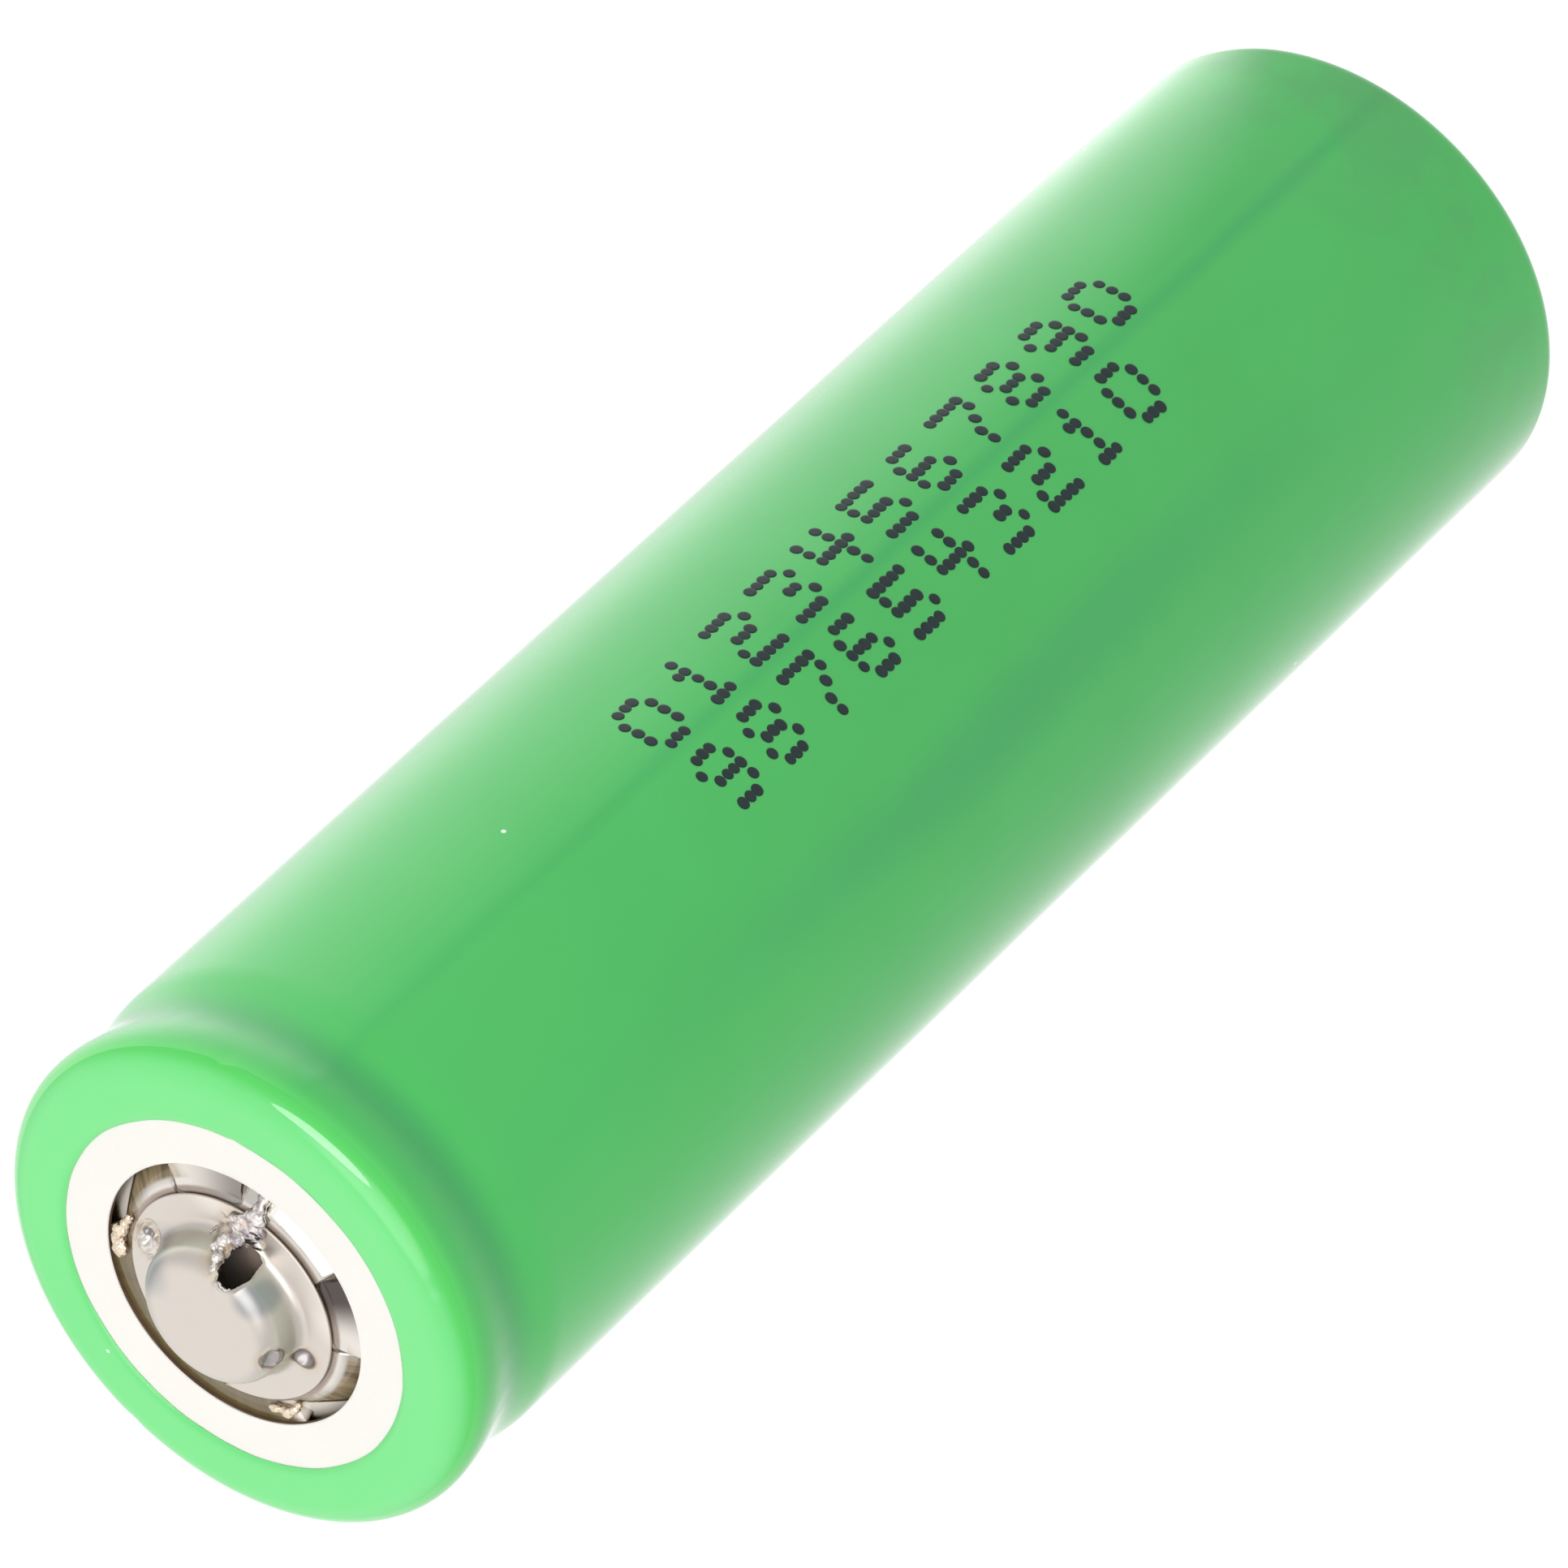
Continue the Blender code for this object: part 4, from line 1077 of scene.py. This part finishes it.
def make_ptc():
    """A carbon-filled polymer ring; the thin metal skins it lies between are not drawn."""
    upper, lower, bore = top("ptc_ring"), low("ptc_ring"), 5.6
    outline = [(bore, upper), (STACK_RADIUS, upper), (STACK_RADIUS, lower), (bore, lower)]

    def lift(angle, run, points):
        return 0.004 * grain(points, 0.8, 73.0)

    look = coating_look("ptc_polymer", (0.03, 0.03, 0.033), (0.2, 0.2, 0.2))
    make_ring_piece("ptc_washer", "ptc_ring", look, outline, 0.03, 144, lift)


def make_vent():
    """The burst disc, with a boss welded to the plate below and two scored rings that let it open."""
    upper = top("vent_disc")
    dish, boss, inner_score, outer_score = upper - 0.56, 0.4, 3.1, 5.2
    boss_top = dish - boss
    corners = [(0.0, boss_top), (1.5, boss_top), (2.3, dish), (6.0, dish), (6.6, upper), (STACK_RADIUS, upper)]
    profile = split(rounded(corners, 0.22, 6), 0.12, round)

    def lift(angle, run, points):
        radius = radius_of(points)
        scored = bell(radius - inner_score, 0.06) + bell(radius - outer_score, 0.06)
        spokes = bell(np.sin(3 * angle) * radius / 3, 0.05) * (radius > inner_score) * (radius < outer_score)
        weld = bell(radius - 0.7, 0.12) * (0.5 + 0.5 * np.sin(8 * angle))
        return 0.005 * grain(points, 1.4, 75.0) - 0.05 * scored - 0.04 * spokes - 0.05 * weld

    mesh = lathe(profile, even_columns(192), wall=0.3, lift=lift)
    look = metal_look("vent_aluminium", (0.82, 0.83, 0.84), (0.2, 0.36), (1.0, 6.0, 1.0))
    finished("vent_dish", mesh, look, ["vent_disc"])


def make_cid_web():
    """A moulded web between the vent disc and the plate, its skirt round the plate's edge."""
    upper, outer, inner = top("cid_insulator"), reach("cid_insulator"), 4.6
    web_base, skirt_base = upper - 0.33, low("cid_contact_plate")
    bore = reach("cid_contact_plate") + 0.05
    outline = [
        (inner, upper), (outer, upper), (outer, skirt_base),
        (bore, skirt_base), (bore, web_base), (inner, web_base),
    ]

    def lift(angle, run, points):
        ribs = np.clip(np.sin(24 * angle) * 4, -1, 1) * (points[:, 2] > upper - 0.02)
        return 0.005 * grain(points, 0.9, 77.0) + 0.012 * ribs

    look = plastic_look("cid_plastic", (0.16, 0.30, 0.55), (0.35, 0.5))
    make_ring_piece("cid_web", "cid_insulator", look, outline, 0.05, 288, lift)


def off_circles(angle, radius, circle, hole, azimuths):
    """Distance from the nearest of these round holes, below 0 inside it."""
    found = np.full(len(angle), 9.0)
    for azimuth in azimuths:
        turn = angle_from(angle, azimuth)
        gap = np.sqrt(radius ** 2 + circle ** 2 - 2 * radius * circle * np.cos(turn))
        found = np.minimum(found, gap - hole)
    return found


def make_plate():
    """The contact plate: four holes let gas through to the vent disc."""
    upper, outer = top("cid_contact_plate"), reach("cid_contact_plate")
    profile = [*line((0.0, upper), (outer, upper), 60), (outer, upper)]
    hole_circle, hole_radius, hole_azimuths = 3.4, 0.7, (45, 135, 225, 315)

    def opening(angle, run):
        return off_circles(angle, run, hole_circle, hole_radius, hole_azimuths)

    def lift(angle, run, points):
        coined = bell(opening(angle, run) - 0.12, 0.12)
        return 0.004 * grain(points, 1.3, 79.0) - 0.03 * coined - 0.05 * bell(run, 0.45)

    mesh = lathe(profile, even_columns(240), wall=0.3, opening=opening, lift=lift)
    look = metal_look("plate_aluminium", (0.84, 0.84, 0.85), (0.18, 0.34))
    finished("contact_plate", mesh, look, ["cid_contact_plate"])


def make_insulator(name, node, slot_radius, slot_azimuth, ports):
    """A punched film disc with a centre hole, a slot for the tab, and ports for gas and electrolyte."""
    upper, outer, inner = top(node), reach(node), 1.3
    profile = [*line((inner, upper), (outer, upper), 64), (outer, upper)]
    half_slot, half_slot_length, port_circle, port_radius = 0.3, 2.2, 5.2, 0.8

    def opening(angle, run):
        radius, turn = run + inner, angle_from(angle, slot_azimuth)
        along = np.abs(radius * np.cos(turn) - slot_radius) - half_slot
        across = np.abs(radius * np.sin(turn)) - half_slot_length
        found = np.maximum(along, across)
        return np.minimum(found, off_circles(angle, radius, port_circle, port_radius, ports))

    def lift(angle, run, points):
        return -0.015 * np.abs(grain(points, 3.0, 81.0)) * (run > 0.4)

    mesh = lathe(profile, even_columns(300), wall=upper - low(node), opening=opening, lift=lift)
    look = plastic_look(name + "_film", (0.80, 0.81, 0.78), (0.3, 0.5), 0.12, 0.01)
    finished(name, mesh, look, [node])


def band(path, start, end, rows, thickness, lift=None):
    """A strip on edge: a path of (x, y) drawn up from one height to another, then given its thickness."""
    path = np.array(path, float)
    ahead = np.gradient(path, axis=0)
    ahead /= np.linalg.norm(ahead, axis=1)[:, None]
    heights = np.linspace(start, end, rows)
    run, height = (grid.ravel() for grid in np.meshgrid(runs(path), heights))
    shift = lift(run, height) if lift else np.zeros(len(run))
    normal = np.stack([ahead[:, 1], -ahead[:, 0]], axis=1)
    flat = np.tile(path, (rows, 1)) + np.tile(normal, (rows, 1)) * shift[:, None]
    points = np.column_stack([flat, height])
    count = len(path)
    faces = [
        (row * count + i, row * count + i + 1, (row + 1) * count + i + 1, (row + 1) * count + i)
        for row in range(rows - 1) for i in range(count - 1)
    ]
    mesh = bpy.data.meshes.new("band")
    mesh.from_pydata(points.tolist(), [], faces)
    return evaluated(mesh, "SOLIDIFY", thickness=thickness, offset=0.0, use_even_offset=True)


def make_winding():
    """Nineteen turns of separator, cathode, separator and anode. The foils stop short of the separators."""
    turns, steps, core, outside = 19, 72, 1.75, 8.48
    film = plastic_look("separator_film", (0.84, 0.84, 0.81), (0.5, 0.7), 0.1, 0.004)
    film_b = plastic_look("separator_film_b", (0.82, 0.82, 0.79), (0.5, 0.7), 0.1, 0.004)
    cathode = coating_look("cathode_coating", (0.035, 0.035, 0.04), (0.12, 0.12, 0.13))
    anode = coating_look("anode_coating", (0.07, 0.065, 0.065), (0.45, 0.22, 0.1))
    layers = (
        ("separator_a", "separator_inner", 0.02, film, "separator_film"),
        ("cathode_foil", "cathode_strip", 0.14, cathode, "cathode_coating"),
        ("separator_b", "separator_outer", 0.02, film_b, "separator_film"),
        ("anode_foil", "anode_strip", 0.12, anode, "anode_coating"),
    )
    stack = sum(layer[2] for layer in layers)
    pitch = (outside - core - stack / 4) / (turns + 0.75)
    gap = (pitch - stack) / len(layers)
    offset = 0.0
    angle = np.linspace(0, 2 * math.pi * turns, turns * steps + 1)
    for index, (name, node, thickness, look, slot) in enumerate(layers):
        radius = core + offset + thickness / 2 + pitch * angle / (2 * math.pi)
        path = np.stack([radius * np.cos(angle), radius * np.sin(angle)], axis=1)
        offset += thickness + gap

        def lift(run, height, seed=83.0 + index):
            return 0.25 * gap * strip_grain(run, height, 4.0, seed, 1)

        mesh = band(path, low(node), top(node), 5, thickness, lift)
        finished(name, mesh, look, [node], sharp=50)


def make_roll_tape():
    """Tape that holds the end of the roll, its surface slightly uneven."""
    radius, half_angle = 8.58, 60
    path = arc((0.0, 0.0), radius, -half_angle, half_angle, 96)

    def lift(run, height):
        return 0.012 * strip_grain(run, height, 2.5, 89.0)

    mesh = band(path, low("winding_tape"), top("winding_tape"), 60, 0.06, lift)
    look = plastic_look("roll_tape", (0.07, 0.36, 0.24), (0.2, 0.35), 0.5, 0.006, coat=0.5)
    finished("roll_tape", mesh, look, ["winding_tape"])


def make_pin():
    """A tube rolled from sheet, open along its slit, with its ends turned in a little."""
    lower, upper, radius, wall, half_slit = low("center_pin"), top("center_pin"), 1.4, 0.2, 15
    path = arc((0.0, 0.0), radius, half_slit, 360 - half_slit, 55)

    def lift(run, height):
        end = np.minimum(height - lower, upper - height)
        return 0.004 * strip_grain(run, height, 1.5, 91.0) - 0.12 * bell(end, 0.5)

    mesh = band(path, lower, upper, 90, wall, lift)
    look = metal_look("pin_steel", (0.62, 0.62, 0.61), (0.28, 0.42), (1.0, 1.0, 8.0))
    finished("core_pin", mesh, look, ["center_pin"])


def make_tabs():
    """Welding tabs, with the dents of their spot welds, and the tape on the cathode's tab."""
    upright = Matrix.Rotation(math.pi / 2, 4, "X")

    def tab(name, node, corners, thickness, look, welds):
        path = split(rounded(corners, 0.5, 5), 0.12)

        def lift(run, height):
            total = 0.004 * strip_grain(run, height, 0.8, 93.0)
            for at in welds:
                for across in (-1.0, 0.0, 1.0):
                    total = total - 0.04 * bell(np.hypot(run - at, height - across), 0.25)
            return total

        mesh = band(path, -2.0, 2.0, 33, thickness, lift)
        mesh.transform(upright)
        finished(name, mesh, look, [node])

    upright_at = 5.0
    level = top("cathode_tab") - 0.075
    corners = [(upright_at, low("cathode_tab")), (upright_at, level - 0.5), (4.6, level), (-1.5, level)]
    look = metal_look("tab_aluminium", (0.85, 0.86, 0.87), (0.2, 0.36))
    tab("cathode_lead", "cathode_tab", corners, 0.15, look, (6.5, 7.6))
    level = low("anode_tab") + 0.05
    corners = [(-6.0, top("anode_tab")), (-6.0, level + 0.15), (-5.85, level), (1.0, level)]
    look = metal_look("tab_nickel", (0.66, 0.64, 0.60), (0.24, 0.4))
    tab("anode_lead", "anode_tab", corners, 0.1, look, (5.6, 6.8))
    inside, outside, half = upright_at - 0.125, upright_at + 0.125, 2.05
    wrap = [(inside, 0.0), (inside, -half), (outside, -half), (outside, half), (inside, half), (inside, 0.02)]
    path = split(rounded(wrap, 0.08, 4), 0.2)
    mesh = band(path, low("cathode_tab_tape"), top("cathode_tab_tape"), 9, 0.05)
    look = plastic_look("polyimide_tape", (0.62, 0.32, 0.04), (0.15, 0.3), 0.2, 0.003, coat=0.6)
    finished("lead_tape", mesh, look, ["cathode_tab_tape"])


# Studio


def make_camera():
    """A long lens, rolled so that the cell lies as it does in the photo."""
    elevation, roll = math.radians(CAMERA_ELEVATION), math.radians(CAMERA_ROLL)
    back = Vector((0.0, -math.cos(elevation), math.sin(elevation)))
    level, upright = Vector((1.0, 0.0, 0.0)), Vector((0.0, math.sin(elevation), math.cos(elevation)))
    right = level * math.cos(roll) + upright * math.sin(roll)
    up = back.cross(right)
    camera = added("camera", bpy.data.cameras.new("camera"))
    camera.data.sensor_width = 36.0
    camera.data.lens = CAMERA_LENS
    camera.data.clip_start = 0.01
    camera.data.clip_end = 10.0
    place_at = (Vector(CAMERA_TARGET) + back * CAMERA_DISTANCE) * MM
    camera.matrix_world = Matrix.Translation(place_at) @ Matrix((right, up, back)).transposed().to_4x4()
    bpy.context.scene.camera = camera


def make_floor():
    """A pale sheet over a light table, brighter on one side."""
    shape = bmesh.new()
    bmesh.ops.create_grid(shape, x_segments=24, y_segments=24, size=2.0)
    mesh = mesh_from(shape, "floor")
    floor = added("floor", mesh)
    floor.location.z = -FLOOR_GAP * MM
    look = Look("light_table", Base_Color=(0.0, 0.0, 0.0, 1.0), Specular_IOR_Level=0.0, Roughness=1.0,
                Emission_Color=(1.0, 1.0, 1.0, 1.0))
    side = math.radians(BRIGHT_SIDE_AZIMUTH)
    bright_from = (5.5, -2.0, 0.0)
    from_edge = look.vector("NORMALIZE", look.vector("SUBTRACT", look.position, bright_from))
    towards = look.vector("DOT_PRODUCT", from_edge, (math.cos(side), math.sin(side), 0.0))
    mesh.materials.append(look.set(Emission_Strength=look.span(towards, 0.4, 1.0, 1.15, 2.05)))


# Where the studio's light is stronger or weaker: direction, cosine where that starts and is full, change
SKY_LOBES = (
    ((0.0, 0.771, 0.637), 0.55, 0.95, 0.45),
    ((-0.15, -0.5, 0.85), 0.84, 0.95, 1.85),
    ((0.4, 0.92, 0.05), 0.9, 0.99, -0.3),
)


def make_world():
    """Soft studio light, brighter behind the cell and overhead on the camera's side."""
    world = bpy.data.worlds.new("studio")
    bpy.context.scene.world = world
    world.use_nodes = True
    sky = Nodes(world.node_tree)
    direction = sky.node("ShaderNodeTexCoord").outputs["Generated"]
    strength = 0.8
    for towards, start, end, change in SKY_LOBES:
        dot = sky.vector("DOT_PRODUCT", direction, Vector(towards).normalized())
        strength = sky.math("MULTIPLY_ADD", sky.span(dot, start, end), change, strength)
    background = sky.tree.nodes["Background"]
    background.inputs["Color"].default_value = (1.0, 1.0, 1.0, 1.0)
    sky.tree.links.new(strength, background.inputs["Strength"])


def make_lights(sleeve):
    """A soft lamp overhead, and an oval one by the camera that draws the bright line on the rim."""
    only_sleeve = bpy.data.collections.new("lit_by_strip")
    only_sleeve.objects.link(sleeve)
    for name, size, energy, place_at in (
        ("overhead", (0.18, 0.11), 0.64, (0.06, -0.09, 0.55)),
        ("strip", (0.36, 0.2), 1.3, (0.13, -0.31, 0.44)),
    ):
        light = bpy.data.lights.new(name, "AREA")
        light.shape = "ELLIPSE"
        light.size, light.size_y = size
        light.energy = energy
        lamp = added(name, light)
        lamp.location = place_at
        target = Vector((0.0, 0.0, BODY_TOP * MM))
        lamp.rotation_euler = (target - lamp.location).to_track_quat("-Z", "Y").to_euler()
        if name == "strip":
            lamp.visible_diffuse = False
            lamp.light_linking.receiver_collection = only_sleeve
        else:
            lamp.visible_glossy = False


bpy.context.scene.view_settings.view_transform = "Standard"
WELD_STEEL = weld_look()
make_camera()
make_floor()
make_world()
make_lights(make_sleeve())
make_print()
make_ring()
make_button()
make_cap()
make_weld("weld_front", "weld_bead_front", FRONT_WELD, 3.0, 0.75)
make_weld("spatter_right", "weld_spatter_right", RIGHT_SPATTER, 17.0, 1.3)
make_weld("spatter_left", "weld_spatter_left", LEFT_SPATTER, 29.0, 0.6)
make_can()
make_gasket()
make_ptc()
make_vent()
make_cid_web()
make_plate()
make_insulator("top_film", "top_insulator", 5.0, 0.0, (75, 150, 210, 285))
make_insulator("base_film", "bottom_insulator", 6.0, 180.0, ())
make_winding()
make_roll_tape()
make_pin()
make_tabs()
